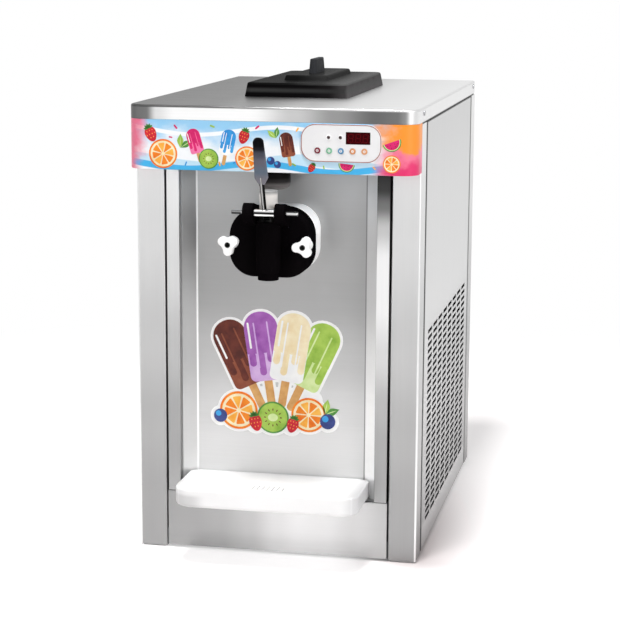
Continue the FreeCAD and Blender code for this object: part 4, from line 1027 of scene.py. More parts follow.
@dataclass(frozen=True)
class Lolly:
    """An ice lolly of the print. Its stick's place and size are shares of the width and height of its ice."""

    width: float
    height: float
    coat: Inks
    body: Inks
    stick_place: Pair = (0.0, -0.66)
    stick_size: Pair = (0.24, 0.46)
    shoulder: float = 0.48
    drips: Levels = ((-0.36, 0.2), (-0.1, 0.34), (0.17, 0.16), (0.39, 0.28))
    drip_start: float = -0.08
    grooves: Pair = (-0.2, 0.2)
    border_foot: float = 0.18
    border_corners: Pair = (0.006, 0.008)

    def parts(self) -> list[tuple[Inks, int, Pair, Pair, Pair]]:
        """Lists the lolly's shapes.

        Returns:
            For each, its ink, its layer, its place, its size and the radii of its upper and lower corners.
            Places and sizes are shares of the width and height of the ice, and radii are shares of its width.
        """
        drips = [(self.coat, 3, (across, self.drip_start - drop / 2), (0.2, drop), (0.09, 0.1))
                 for across, drop in self.drips]
        grooves = [(self.body, 4, (across, 0.02), (0.045, 0.66), (0.022, 0.022)) for across in self.grooves]
        return [(Inks.TAN, 0, self.stick_place, self.stick_size, (0.1, 0.12)),
                (self.body, 1, (0.0, 0.0), (1.0, 1.0), (self.shoulder, 0.16)),
                (self.coat, 2, (0.0, 0.2), (0.995, 0.595), (self.shoulder, 0.03)),
                *drips, *grooves,
                (Inks.WHITE, 4, (-0.37, 0.17), (0.06, 0.38), (0.03, 0.03))]


@dataclass
class Artwork:
    """Printed shapes laid over one another on an upright face."""

    name: str
    face: float
    base: float = 0.00012
    layer: float = 0.00002
    mesh: Mesh = field(default_factory=bmesh.new)
    inks: list[Inks] = field(default_factory=list)

    def stamp(self, shape: Mesh, ink: Inks, level: int, place: Matrix) -> None:
        """Prints one flat shape.

        Args:
            shape: The shape, which is used up.
            ink: Its colour.
            level: How many layers lie under it.
            place: Where it stands on the face.
        """
        if ink not in self.inks:
            self.inks.append(ink)
        join(self.mesh, thicken(shape, self.base + self.layer * level), place, self.inks.index(ink))

    def at(self, x: float, z: float, turn: float = 0.0) -> Matrix:
        """Gives the place of a shape on the face."""
        return to_front(x, self.face, z, turn)

    def citrus(self, spot: Spot, parts: int = 8) -> None:
        """Prints an orange slice.

        Args:
            spot: Its middle, radius, layer and turn.
            parts: How many segments it has.
        """
        radius, middle = spot.size, self.at(spot.x, spot.z)
        pith, flesh, width = radius * 0.88, radius * 0.82, radius * 0.5
        self.stamp(disc(radius), Inks.ORANGE, spot.level, middle)
        self.stamp(disc(pith), Inks.CREAM, spot.level + 1, middle)
        for index in range(parts):
            ink = Inks.AMBER if index % 3 == 0 else Inks.ORANGE
            place = middle @ spin(spot.turn + 360.0 / parts * index)
            self.stamp(slice_wedge(flesh, width), ink, spot.level + 2, place)

    def kiwi(self, spot: Spot, seeds: int = 12) -> None:
        """Prints a kiwi slice.

        Args:
            spot: Its middle, radius, layer and turn.
            seeds: How many seeds it has.
        """
        radius, middle = spot.size, self.at(spot.x, spot.z, spot.turn)
        flesh, ring = radius * 0.9, radius * 0.5
        core, seed = (radius * 0.62, radius * 0.5), (radius * 0.07, radius * 0.16)
        self.stamp(disc(radius), Inks.LEAF, spot.level, middle)
        self.stamp(disc(flesh), Inks.LIME, spot.level + 1, middle)
        self.stamp(oval(*core), Inks.MINT, spot.level + 2, middle)
        for index in range(seeds):
            place = middle @ spin(360.0 / seeds * index) @ slide(0.0, ring)
            self.stamp(oval(*seed, SEED_SIDES), Inks.CHOCOLATE, spot.level + 3, place)

    def melon(self, spot: Spot) -> None:
        """Prints a slice of melon with its rind below.

        Args:
            spot: The middle of its flat side, its radius, layer and turn.
        """
        radius, place = spot.size, self.at(spot.x, spot.z, spot.turn)
        layers = ((1.0, Inks.LEAF), (0.9, Inks.MINT), (0.82, Inks.ROSE))
        seeds = ((0.35, -40.0), (0.35, 40.0), (0.6, -62.0), (0.62, -20.0), (0.6, 22.0), (0.62, 60.0))
        seed = radius * 0.07, radius * 0.14
        for layer, (share, ink) in enumerate(layers):
            self.stamp(half_disc(radius * share), ink, spot.level + layer, place)
        for share, angle in seeds:
            self.stamp(oval(*seed, SEED_SIDES), Inks.CHOCOLATE, spot.level + len(layers),
                       place @ spin(angle) @ slide(0.0, -radius * share))

    def berry(self, spot: Spot) -> None:
        """Prints a strawberry with its leaves.

        Args:
            spot: Its middle, width, layer and turn.
        """
        width, place = spot.size, self.at(spot.x, spot.z, spot.turn)
        height, gap, stalk = width * 1.2, width * 0.22, width * 0.46
        seed, blade = (width * 0.06, width * 0.1), (width * 0.42, width * 0.2)
        self.stamp(strawberry(width, height), Inks.RED, spot.level, place)
        for row, count in ((0.28, 3), (0.0, 4), (-0.26, 2)):
            for index in range(count):
                across = (index - (count - 1) / 2) * gap
                self.stamp(oval(*seed, segments=8), Inks.AMBER, spot.level + 1,
                           place @ slide(across, width * row))
        for angle in (-70.0, -35.0, 0.0, 35.0, 70.0):
            self.stamp(leaf(*blade), Inks.LEAF, spot.level + 2, place @ slide(0.0, stalk) @ spin(angle))

    def blueberry(self, spot: Spot) -> None:
        """Prints a small round berry.

        Args:
            spot: Its middle, radius and layer.
        """
        radius, middle = spot.size, self.at(spot.x, spot.z)
        gleam, left, up = radius * 0.42, radius * 0.3, radius * 0.32
        self.stamp(disc(radius, segments=20), Inks.NAVY, spot.level, middle)
        self.stamp(disc(gleam, segments=12), Inks.BLUE, spot.level + 1, middle @ slide(-left, up))

    def mint(self, spot: Spot, spread: float = 28.0) -> None:
        """Prints a pair of leaves.

        Args:
            spot: Their stalk, length, layer and turn.
            spread: The turn of each from the middle, in degrees.
        """
        blade, vein = (spot.size, spot.size * 0.46), (spot.size * 0.86, spot.size * 0.05)
        for angle, ink in ((-spread, Inks.LEAF), (spread, Inks.LIME)):
            place = self.at(spot.x, spot.z, spot.turn + angle)
            self.stamp(leaf(*blade), ink, spot.level, place)
            self.stamp(leaf(*vein), Inks.MINT, spot.level + 1, place)

    def lolly(self, lolly: Lolly, place: Matrix, level: int) -> None:
        """Prints an ice lolly on its stick.

        Args:
            lolly: Its size and colours.
            place: Where the middle of the ice stands.
            level: The layer that it starts on.
        """
        width, height = lolly.width, lolly.height
        for ink, layer, (across, rise), (wide, high), (top, bottom) in lolly.parts():
            shape = plate(width * wide, height * high, width * top, width * bottom)
            self.stamp(shape, ink, level + layer, place @ slide(width * across, height * rise))

    def outline(self, lolly: Lolly, place: Matrix, rim: float, level: int) -> None:
        """Prints the white border of a lolly.

        Args:
            lolly: The lolly.
            place: Where the middle of the ice stands.
            rim: How much wider and higher than the ice the border is.
            level: The layer that it starts on.
        """
        width, height = lolly.width + rim, lolly.height + rim
        ice = plate(width, height, width * lolly.shoulder, width * lolly.border_foot)
        self.stamp(ice, Inks.WHITE, level, place)
        wide, high = lolly.stick_size
        stick = plate(lolly.width * wide + rim, lolly.height * high + rim, *lolly.border_corners)
        self.stamp(stick, Inks.WHITE, level + 1, place @ slide(0.0, lolly.height * lolly.stick_place[1]))

    def confetti(self, spots: tuple[Spot, ...], inks: tuple[Inks, ...]) -> None:
        """Prints short coloured strokes.

        Args:
            spots: For each, its middle, length, layer and turn.
            inks: The colours, used in turn.
        """
        for index, spot in enumerate(spots):
            width = spot.size * 0.34
            self.stamp(plate(width, spot.size, width / 2), inks[index % len(inks)], spot.level,
                       self.at(spot.x, spot.z, spot.turn))

    def finish(self, slot: str) -> None:
        """Turns the print into a piece on the cabinet."""
        piece(self.name, self.mesh, tuple(ink.finish() for ink in self.inks), Body.CABINET)


Coats = tuple[tuple[Finish, tuple[str, ...]], ...]


@dataclass
class Assembly:
    """A part of the machine. Each of its plain coats is a finish with the nodes that wear it."""

    coats: Coats = ()

    def dress(self) -> None:
        """Gives the nodes their plain coats."""
        for finish, nodes in self.coats:
            dress(finish, *nodes)

    def build(self) -> None:
        """Builds the pieces that the solids leave out, where there are any."""


BRIGHT_SCREWS = Moulded("bright_screws", (176, 177, 179), (120, 121, 124), (0.22, 0.34), metallic=1.0)


@dataclass
class Cabinet(Assembly):
    """Posts, panels, cover, base and the screws that hold them.

    A seam is a painted shade line near an edge, given as the gaps to the edge where it begins and where it is
    full.
    """

    post_foot: float = 0.0025
    post_head: float = 0.692
    half_width: float = 0.225
    post_depth: float = 0.048
    seam_shade_level: float = 16.0
    edge_highlight_level: float = 220.0
    frame_level: float = 110.0
    post_seam: Pair = (-0.0018, -0.0006)
    post_edge: Pair = (0.0034, 0.0022)
    panel_seam: Pair = (0.0095, 0.008)
    rear_seam: Pair = (0.0145, 0.013)
    top_seam: Pair = (0.0022, 0.0012)
    frame_seam: Pair = (0.0036, 0.003)
    lip_seam: Pair = (0.0014, 0.0006)
    lip_depth: float = 0.006
    kick_half_width: float = 0.178
    cover_line: float = 0.7145
    cover_fade: float = 0.002
    screw_radius: float = 0.0042
    screw_height: float = 0.0018
    screw_inset: float = 0.016
    screw_round: float = 0.6
    screw_sides: int = 24
    screw_twist: float = 0.4
    screw_slot: Pair = (0.28, 1.25)
    slot_corner: float = 0.0002
    slot_rise: float = 0.00004
    post_painted_light_levels: Levels = ((0.0, 148), (0.14, 152), (0.3, 166), (0.5, 189), (0.75, 214), (1.0, 229))
    panel_painted_light_levels: Levels = ((0.0, 180), (0.05, 184), (0.068, 150), (0.2, 160), (0.36, 188), (0.5, 206),
                            (0.56, 212), (0.8, 210), (1.0, 203))
    plate_reflection_levels: Levels = ((0.0, 74), (0.25, 88), (0.42, 120), (0.6, 174), (0.78, 204), (1.0, 212))
    band_reflection_levels: Levels = ((0.0, 98), (0.03, 103), (0.068, 118), (0.105, 222), (0.17, 246), (0.43, 246),
                           (0.58, 202), (0.72, 152), (0.86, 108), (0.93, 116), (0.955, 138), (0.985, 206),
                           (1.0, 232))
    kick_painted_light_levels: Levels = ((0.0, 148), (0.12, 152), (0.24, 160), (0.38, 178), (0.5, 202), (0.6, 210),
                           (0.72, 206), (0.86, 190), (1.0, 172))
    lip_shade_levels: Levels = ((0.0, 44), (0.4, 44), (0.8, 176), (1.0, 176))
    coats: Coats = (
        (Moulded("zinc_sheet", (92, 94, 96), (76, 78, 80), (0.4, 0.55), metallic=1.0, mottling=30.0),
         ("base_pan",)),
        (BRIGHT_SCREWS, ("cover_screws",)),
        (Moulded("foot_rubber", (196, 196, 196), (182, 182, 183), (0.6, 0.75), grain=1400.0, relief=0.2),
         ("feet",)))

    def upright(self, name: str, levels: Levels, zones: tuple[Zone, ...] = ()) -> BrushedSteel:
        """Makes a sheet whose tone, a painted light and reflection, runs from the foot to the cover.

        Args:
            name: The finish's name.
            levels: The tone's levels.
            zones: The painted shade and highlight lines along its edges.

        Returns:
            The finish.
        """
        return BrushedSteel(name, Tone(Axis.Z, self.post_foot, self.post_head, levels), zones)

    def cover(self) -> BrushedSteel:
        """Makes the cover's finish, painted reflections: a plate that brightens to the right over a front
        band.

        Returns:
            The finish.
        """
        top, front = (Tone(Axis.X, -self.half_width, self.half_width, levels)
                      for levels in (self.plate_reflection_levels, self.band_reflection_levels))
        below = Zone(Axis.Z, (self.cover_line, self.cover_line - self.cover_fade), front)
        return BrushedSteel("steel_cover", top, (below,), Axis.X, roughness=(0.34, 0.46))

    def kick(self) -> BrushedSteel:
        """Makes the kick panel's finish, with a painted highlight right of the middle and a painted shade
        lip.

        Returns:
            The finish.
        """
        low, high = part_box("kick_panel")
        front = Tone(Axis.Y, low.y, low.y + self.lip_depth, self.lip_shade_levels)
        lip = Zone(Axis.Z, short_of(high.z, self.lip_seam), front)
        tone = Tone(Axis.X, -self.kick_half_width, self.kick_half_width, self.kick_painted_light_levels)
        return BrushedSteel("steel_kick", tone, (lip,), Axis.X)

    def dress(self) -> None:
        """Gives the cabinet's sheets and fasteners their finishes."""
        # Seams are painted shade in the gaps between the sheets.
        dark = Tone.even(self.seam_shade_level)
        low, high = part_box("corner_posts")
        middle, reach = (low.y + high.y) / 2, (high.y - low.y) / 2
        # The front posts' outer corners carry a painted highlight line.
        corner = short_of(self.half_width - low.y, self.post_edge)
        post_shade_and_highlight = (Zone(Axis.Y, short_of(reach - self.post_depth, self.post_seam), dark, centre=middle),
                      Zone(Axis.X, corner, Tone.even(self.edge_highlight_level), centre=0.0, lean=1.0))
        low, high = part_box("right_side_panel")
        panel_shade_lines = (Zone(Axis.Y, short_of((high.y - low.y) / 2, self.panel_seam), dark, centre=middle),
                       Zone(Axis.Y, short_of(high.y, self.rear_seam), dark),
                       Zone(Axis.Z, short_of(high.z, self.top_seam), dark))
        # Painted shade along the inner frame's sides, where they show under the cover's skirt.
        rim = Zone(Axis.X, short_of(self.half_width, self.frame_seam), dark, centre=0.0)
        # The posts and panels carry painted light and reflection in their tones.
        dress(self.upright("steel_posts", self.post_painted_light_levels, post_shade_and_highlight), "corner_posts")
        panels = self.upright("steel_panels", self.panel_painted_light_levels, panel_shade_lines)
        dress(panels, "right_side_panel", "left_side_panel")
        dress(self.upright("steel_rear", self.panel_painted_light_levels), "rear_panel")
        dress(self.cover(), "top_cover")
        dress(self.kick(), "kick_panel")
        dress(BrushedSteel("steel_frame", Tone.even(self.frame_level), (rim,)), "inner_frame")
        super().dress()

    def build(self) -> None:
        """Builds the screws of the rear panel."""
        low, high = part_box("rear_panel")
        slot_width, slot_length = (self.screw_radius * share for share in self.screw_slot)
        heads = bmesh.new()
        for x in (low.x + self.screw_inset, high.x - self.screw_inset):
            for z in (low.z + self.screw_inset, (low.z + high.z) / 2, high.z - self.screw_inset):
                place = Matrix.Translation((x, high.y, z)) @ Matrix.Rotation(-math.pi / 2, 4, "X")
                head = disc(self.screw_radius, self.screw_sides)
                join(heads, thicken(head, self.screw_height, self.screw_height * self.screw_round), place)
                twist = self.screw_twist * x / high.x
                for turn in (0.0, math.pi / 2):
                    mark = plate(slot_width, slot_length, self.slot_corner)
                    join(heads, thicken(mark, self.screw_height + self.slot_rise),
                         place @ Matrix.Rotation(turn + twist, 4, "Z"), 1)
        # The slot marks are painted shade for the screws' recessed slots.
        dark = Moulded("screw_slot_painted_shade", (30, 30, 32), (44, 44, 46), (0.5, 0.6))
        piece("rear_panel_screws", heads, (BRIGHT_SCREWS, dark), Body.CABINET)


@dataclass
class Fascia(Assembly):
    """The printed front over the recess."""

    film_low: float = 0.618
    film_high: float = 0.695
    half_width: float = 0.2265
    strokes: tuple[Spot, ...] = (
        Spot(-0.148, 0.684, 0.008, 1, 40.0), Spot(-0.132, 0.628, 0.007, 1, -20.0),
        Spot(-0.09, 0.686, 0.008, 1, 70.0), Spot(-0.079, 0.629, 0.007, 1, 15.0),
        Spot(-0.02, 0.686, 0.008, 1, -50.0), Spot(-0.013, 0.656, 0.007, 1, 30.0),
        Spot(0.037, 0.631, 0.007, 1, 60.0), Spot(0.042, 0.684, 0.007, 1, -30.0),
        Spot(-0.156, 0.668, 0.006, 1, 80.0), Spot(-0.055, 0.632, 0.006, 1, -60.0),
        Spot(0.083, 0.628, 0.006, 1, 10.0), Spot(0.16, 0.629, 0.006, 1, 45.0))

    def dress(self) -> None:
        """Gives the fascia its printed film."""
        dress(PrintFilm("fascia_film", self.film_low, self.film_high, self.half_width), "fascia")

    def build(self) -> None:
        """Prints the fruit, lollies and confetti on the flat of the fascia."""
        art = Artwork("fascia_print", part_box("fascia")[0].y)
        art.citrus(Spot(-0.168, 0.6425, 0.0225, 1, 10.0))
        art.berry(Spot(-0.187, 0.672, 0.02, 1, 24.0))
        art.mint(Spot(-0.141, 0.652, 0.022, 1, -30.0))
        art.lolly(Lolly(0.0215, 0.038, Inks.ROSE, Inks.PINK), art.at(-0.118, 0.663, 16.0), 4)
        art.kiwi(Spot(-0.096, 0.6365, 0.0155, 10))
        art.lolly(Lolly(0.0225, 0.04, Inks.BLUE, Inks.WHITE), art.at(-0.066, 0.662, -12.0), 4)
        art.citrus(Spot(-0.036, 0.6385, 0.0185, 10))
        art.berry(Spot(-0.041, 0.671, 0.018, 4, -18.0))
        art.lolly(Lolly(0.021, 0.037, Inks.CHOCOLATE, Inks.COCOA), art.at(0.026, 0.661, 10.0), 4)
        art.mint(Spot(0.009, 0.67, 0.018, 1, 20.0))
        art.blueberry(Spot(0.001, 0.636, 0.0062, 2))
        art.blueberry(Spot(0.0115, 0.6305, 0.0055, 2))
        art.melon(Spot(0.186, 0.6685, 0.0145, 2, 20.0))
        art.citrus(Spot(0.1865, 0.6355, 0.0135, 6, 20.0))
        art.berry(Spot(0.064, 0.6265, 0.0115, 2, -30.0))
        art.melon(Spot(0.118, 0.634, 0.0125, 2, -6.0))
        art.confetti(self.strokes, (Inks.ROSE, Inks.BLUE, Inks.LIME, Inks.AMBER))
        art.finish("print_white")


@dataclass(frozen=True)
class Key:
    """A key of the panel, with the record's slot for it and the colours of its moulding and its mark."""

    node: str
    body: Body
    slot: str
    colour: Colour
    mark: Colour


@dataclass
class ControlPanel(Assembly):
    """The panel with its display, two lamps and five keys."""

    rim: float = 0.0013
    rim_height: float = 0.0002
    rim_corner: float = 0.0218
    rim_inset: float = 0.0004
    lamp_radius: float = 0.0026
    lamp_rise: float = 0.6
    lamp_foot: float = 0.0002
    lamp_x: Pair = (0.0903, 0.1083)
    lamp_z: float = 0.6737
    halo_radius: float = 0.0044
    halo_height: float = 0.00025
    halo_round: float = 0.0001
    digit_count: int = 3
    digit_pitch: float = 0.0113
    digit_width: float = 0.0076
    digit_height: float = 0.0128
    digit_squeeze: Pair = (0.92, 0.94)
    digit_lean: float = 0.1
    bar: float = 0.0014
    bar_height: float = 0.00015
    bar_round: float = 0.48
    bar_turn: float = 5.0
    bar_gap: float = 0.6
    point_radius: float = 0.55
    point_gap: float = 1.1
    point_sides: int = 16
    round_sides: int = 28
    face_radius: float = 0.002
    face_height: float = 0.00012
    mark_height: float = 0.0002
    mark_bar: float = 0.24
    key_shade: float = 0.86
    mark_shade: float = 0.85
    keys: tuple[Key, ...] = (
        Key("power_button", Body.POWER, "key_red", (124, 30, 52), (130, 30, 50)),
        Key("wash_button", Body.WASH, "key_green", (120, 186, 150), (60, 140, 100)),
        Key("chill_button", Body.CHILL, "key_blue", (92, 148, 190), (50, 110, 170)),
        Key("minus_button", Body.MINUS, "key_orange", (232, 156, 104), (210, 110, 50)),
        Key("plus_button", Body.PLUS, "key_orange", (236, 168, 118), (210, 110, 50)))
    coats: Coats = (
        (Moulded("panel_silver", (236, 236, 236), (226, 226, 228), (0.36, 0.48), specular=0.35, grain=2200.0,
                 relief=0.04), ("control_panel",)),
        (Glow("display_dark", (58, 5, 10), (46, 4, 8), strength=0.02), ("display_module",)),
        (Moulded("board_green", (38, 96, 62), (28, 76, 50), (0.4, 0.55)), ("control_board",)))

    def dress(self) -> None:
        """Gives the panel, the display, the board and the keys their finishes."""
        super().dress()
        for key in self.keys:
            shade = darker(key.colour, self.key_shade)
            dress(Moulded("key_" + key.node, key.colour, shade, (0.36, 0.46), grain=1600.0), key.node)

    def build(self) -> None:
        """Builds the rim, the lamps, the digits and the keys' faces."""
        low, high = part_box("control_panel")
        width, height = high.x - low.x - self.rim_inset, high.z - low.z - self.rim_inset
        middle = (low + high) / 2
        edge = thicken(band(width, height, self.rim_corner, self.rim), self.rim_height)
        edge.transform(to_front(middle.x, low.y, middle.z))
        copper = Ink("ink_rim", (176, 128, 120), (156, 104, 98))
        piece("panel_rim", edge, (copper,), Body.CABINET)
        self.build_lamps(low.y)
        self.build_digits()
        self.build_keys()

    def build_lamps(self, face: float) -> None:
        """Builds the two indicator lamps in their pale collars.

        Args:
            face: The panel's front.
        """
        lamps = bmesh.new()
        for x in self.lamp_x:
            place = to_front(x, face, self.lamp_z)
            collar = disc(self.halo_radius, self.round_sides)
            join(lamps, thicken(collar, self.halo_height, self.halo_round), place)
            join(lamps, dome(self.lamp_radius, self.lamp_rise, self.lamp_foot), place, 1)
        collars = Moulded("lamp_collar", (250, 250, 250), (240, 240, 241), (0.3, 0.4))
        lens = Moulded("lamp_lens", (52, 18, 24), (38, 12, 18), (0.12, 0.2), specular=0.5)
        piece("indicator_lamps", lamps, (collars, lens), Body.CABINET)

    def bars(self) -> list[tuple[float, float, float, float]]:
        """Lists the bars of a digit.

        Returns:
            For each, its place across and in height from the middle, its length and its turn in degrees.
        """
        half_w, half_h = self.digit_width / 2, self.digit_height / 2
        across, upright = self.digit_width - self.bar, half_h - self.bar * self.bar_gap
        level = [(0.0, dz, across, 90.0) for dz in (half_h, 0.0, -half_h)]
        return level + [(dx, dz / 2, upright, 0.0) for dz in (half_h, -half_h) for dx in (-half_w, half_w)]

    def build_digits(self) -> None:
        """Builds the unlit bars and points of the display's digits."""
        low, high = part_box("display_module")
        middle = (low + high) / 2
        squeeze_x, squeeze_z = self.digit_squeeze
        digits = bmesh.new()
        for index in range(self.digit_count):
            centre = middle.x + (index - (self.digit_count - 1) / 2) * self.digit_pitch
            for dx, dz, length, turn in self.bars():
                bar = thicken(plate(self.bar, length, self.bar * self.bar_round), self.bar_height)
                x = centre + dx * squeeze_x + self.digit_lean * dz
                join(digits, bar, to_front(x, low.y, middle.z + dz * squeeze_z, turn - self.bar_turn))
            point = thicken(disc(self.bar * self.point_radius, self.point_sides), self.bar_height)
            x = centre + self.digit_width / 2 + self.bar * self.point_gap
            join(digits, point, to_front(x, low.y, middle.z - self.digit_height / 2 * squeeze_z))
        dim = Glow("display_bars", (88, 10, 16), (74, 8, 14), strength=0.04)
        piece("display_bars", digits, (dim,), Body.CABINET)

    def build_keys(self) -> None:
        """Builds the pale face and the plain mark of every key."""
        ivory = Moulded("key_face", (246, 243, 240), (236, 232, 229), (0.34, 0.44), grain=1800.0)
        for key in self.keys:
            low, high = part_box(key.node)
            middle = to_front((low.x + high.x) / 2, low.y, (low.z + high.z) / 2)
            cap = bmesh.new()
            join(cap, thicken(disc(self.face_radius, self.round_sides), self.face_height), middle)
            for shape, rise, turn in self.mark(key.body):
                join(cap, thicken(shape, self.mark_height), middle @ slide(0.0, rise) @ spin(turn), 1)
            ink = Ink("ink_" + key.node, key.mark, darker(key.mark, self.mark_shade))
            piece(key.node + "_face", cap, (ivory, ink), key.body)

    def mark(self, body: Body) -> list[tuple[Mesh, float, float]]:
        """Draws the plain mark of a key: ring and tick, drop, star, or strokes.

        Args:
            body: The key.

        Returns:
            Each shape with its height above the key's middle and its turn in degrees.
        """
        radius, bar = self.face_radius, self.face_radius * self.mark_bar
        corner = bar * 0.4
        if body is Body.POWER:
            ring, tick, drop, rise = (radius * share for share in (1.2, 0.62, 0.05, 0.42))
            return [(band(ring, ring, ring / 2, bar), -drop, 0.0), (plate(bar, tick, corner), rise, 0.0)]
        if body is Body.WASH:
            length, width, drop = (radius * share for share in (1.2, 0.8, 0.62))
            return [(leaf(length, width), -drop, 0.0)]
        if body is Body.CHILL:
            thin, length, end = bar * 0.7, radius * 1.4, bar * 0.3
            return [(plate(thin, length, end), 0.0, turn) for turn in (0.0, 60.0, 120.0)]
        length = radius * 1.15
        turns = (90.0, 0.0) if body is Body.PLUS else (90.0,)
        return [(plate(bar, length, corner), 0.0, turn) for turn in turns]


@dataclass
class Recess(Assembly):
    """The splash panel with its decal, and the trims on both sides."""

    sheet: float = 0.0012
    low: float = 0.096
    high: float = 0.618
    bend_x: float = 0.136
    bend_fade: Pair = (0.0005, -0.001)
    left_bend: Pair = (0.0018, 0.0008)
    right_bend: Pair = (0.0014, 0.0006)
    bend_highlight_and_shade_levels: Pair = (244.0, 140.0)
    splash_metallic: float = 0.55
    middle_reflection_levels: Levels = ((0.0, 222), (0.12, 214), (0.25, 204), (0.42, 186), (0.6, 168), (0.8, 172),
                             (1.0, 190))
    left_reflection_levels: Levels = ((0.0, 204), (0.2, 190), (0.45, 166), (0.7, 158), (1.0, 160))
    right_reflection_levels: Levels = ((0.0, 250), (0.25, 248), (0.4, 232), (0.6, 210), (0.75, 214), (1.0, 236))
    trim_edge_x: float = 0.178
    trim_seam: Pair = (0.0014, 0.0007)
    trim_seam_shade_level: float = 24.0
    trim_split: Pair = (-0.01, 0.01)
    left_trim_reflection: Levels = ((0.0, 158), (0.12, 152), (0.25, 158), (0.45, 182), (0.7, 214), (1.0, 233))
    right_trim_reflection: Levels = ((0.0, 154), (0.18, 156), (0.3, 170), (0.45, 204), (0.6, 232), (0.74, 236),
                          (0.83, 196), (0.9, 116), (0.95, 64), (1.0, 52))
    decal_x: float = -0.0065
    border: float = 0.0042
    pivot: float = 0.186
    reach: float = 0.148
    ice: Pair = (0.055, 0.112)
    fan: tuple[float, ...] = (25.5, 8.5, -9.0, -25.0)
    flavours: tuple[tuple[Inks, Inks], ...] = ((Inks.CHOCOLATE, Inks.COCOA), (Inks.PLUM, Inks.LILAC),
                                               (Inks.CREAM, Inks.WHITE), (Inks.LIME, Inks.MINT))
    ice_order: tuple[int, ...] = (0, 3, 1, 2)
    ice_level: int = 16
    ice_layers: int = 5
    backing_size: Pair = (0.15, 0.07)
    backing_corner: float = 0.02
    backing_z: float = 0.232
    fruit_borders: tuple[Spot, ...] = (
        Spot(-0.062, 0.226, 0.031, 8), Spot(0.052, 0.224, 0.028, 9), Spot(-0.006, 0.217, 0.026, 10),
        Spot(-0.034, 0.207, 0.014, 11), Spot(0.024, 0.205, 0.013, 12), Spot(0.083, 0.215, 0.014, 13),
        Spot(-0.092, 0.216, 0.0125, 14))
    clip_size: Pair = (0.0042, 0.02)
    clip_height: float = 0.005
    clip_corner: float = 0.002
    clip_round: float = 0.001
    clip_gaps: Colour = (0.001, 0.002, 0.012)
    clip_turn: float = -14.0

    def tone(self, levels: Levels) -> Tone:
        """Makes a tone that runs from the recess's foot to its top."""
        return Tone(Axis.Z, self.low, self.high, levels)

    def dress(self) -> None:
        """Gives the splash panel and the trims their finishes."""
        begin, full = short_of(self.bend_x, self.bend_fade)
        # A painted highlight line on the left bend and a painted shade line on the right bend.
        bright, dim = (Tone.even(level) for level in self.bend_highlight_and_shade_levels)
        # The splash panel's tones are painted shade under the fascia and painted reflection lower down.
        zones = (Zone(Axis.X, (-begin, -full), self.tone(self.left_reflection_levels)),
                 Zone(Axis.X, (begin, full), self.tone(self.right_reflection_levels)),
                 Zone(Axis.X, self.left_bend, bright, centre=-self.bend_x),
                 Zone(Axis.X, self.right_bend, dim, centre=self.bend_x))
        middle = self.tone(self.middle_reflection_levels)
        dress(BrushedSteel("steel_splash", middle, zones, Axis.X, self.splash_metallic), "splash_panel")
        # The trims' tones are painted reflection, and their outer edges carry painted seam shade.
        seam = short_of(self.trim_edge_x, self.trim_seam)
        lines = (Zone(Axis.X, self.trim_split, self.tone(self.right_trim_reflection)),
                 Zone(Axis.X, seam, Tone.even(self.trim_seam_shade_level), centre=0.0))
        dress(BrushedSteel("steel_trims", self.tone(self.left_trim_reflection), lines), "recess_trims")

    def spot(self, x: float, z: float, size: float, level: int, turn: float = 0.0) -> Spot:
        """Gives a spot of the decal, whose place across is counted from the decal's middle."""
        return Spot(self.decal_x + x, z, size, level, turn)

    def build(self) -> None:
        """Builds the decal and the small clip under the fascia."""
        art = Artwork("recess_decal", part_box("splash_panel")[1].y - self.sheet)
        lollies = [Lolly(*self.ice, *inks) for inks in self.flavours]
        places = [art.at(self.decal_x, self.pivot, turn) @ slide(0.0, self.reach) for turn in self.fan]
        for index, (lolly, place) in enumerate(zip(lollies, places)):
            art.outline(lolly, place, 2 * self.border, 2 * index)
        for spot in self.fruit_borders:
            place = art.at(self.decal_x + spot.x, spot.z)
            art.stamp(disc(spot.size + self.border), Inks.WHITE, spot.level, place)
        backing = plate(*self.backing_size, self.backing_corner)
        art.stamp(backing, Inks.WHITE, self.ice_level - 1, art.at(self.decal_x, self.backing_z))
        for step, index in enumerate(self.ice_order):
            art.lolly(lollies[index], places[index], self.ice_level + self.ice_layers * step)
        art.citrus(self.spot(-0.062, 0.226, 0.031, 38, 8.0))
        art.citrus(self.spot(0.052, 0.224, 0.028, 38, 20.0))
        art.kiwi(self.spot(-0.006, 0.217, 0.026, 42))
        art.berry(self.spot(-0.034, 0.207, 0.023, 47, 14.0))
        art.berry(self.spot(0.026, 0.206, 0.021, 47, -16.0))
        art.blueberry(self.spot(0.083, 0.215, 0.0125, 42))
        art.blueberry(self.spot(-0.092, 0.216, 0.011, 42))
        art.mint(self.spot(0.078, 0.226, 0.026, 38, -40.0))
        art.finish("print_white")
        self.build_clip()

    def build_clip(self) -> None:
        """Builds the clip that holds the splash panel's right edge."""
        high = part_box("splash_panel")[1]
        beside, before, below = self.clip_gaps
        clip = thicken(plate(*self.clip_size, self.clip_corner), self.clip_height, self.clip_round)
        clip.transform(to_front(self.bend_x + beside, high.y - self.sheet - before, high.z - below,
                                self.clip_turn))
        black = Moulded("clip_black", (30, 32, 32), (22, 24, 24), (0.4, 0.5))
        piece("panel_clip", clip, (black,), Body.CABINET)


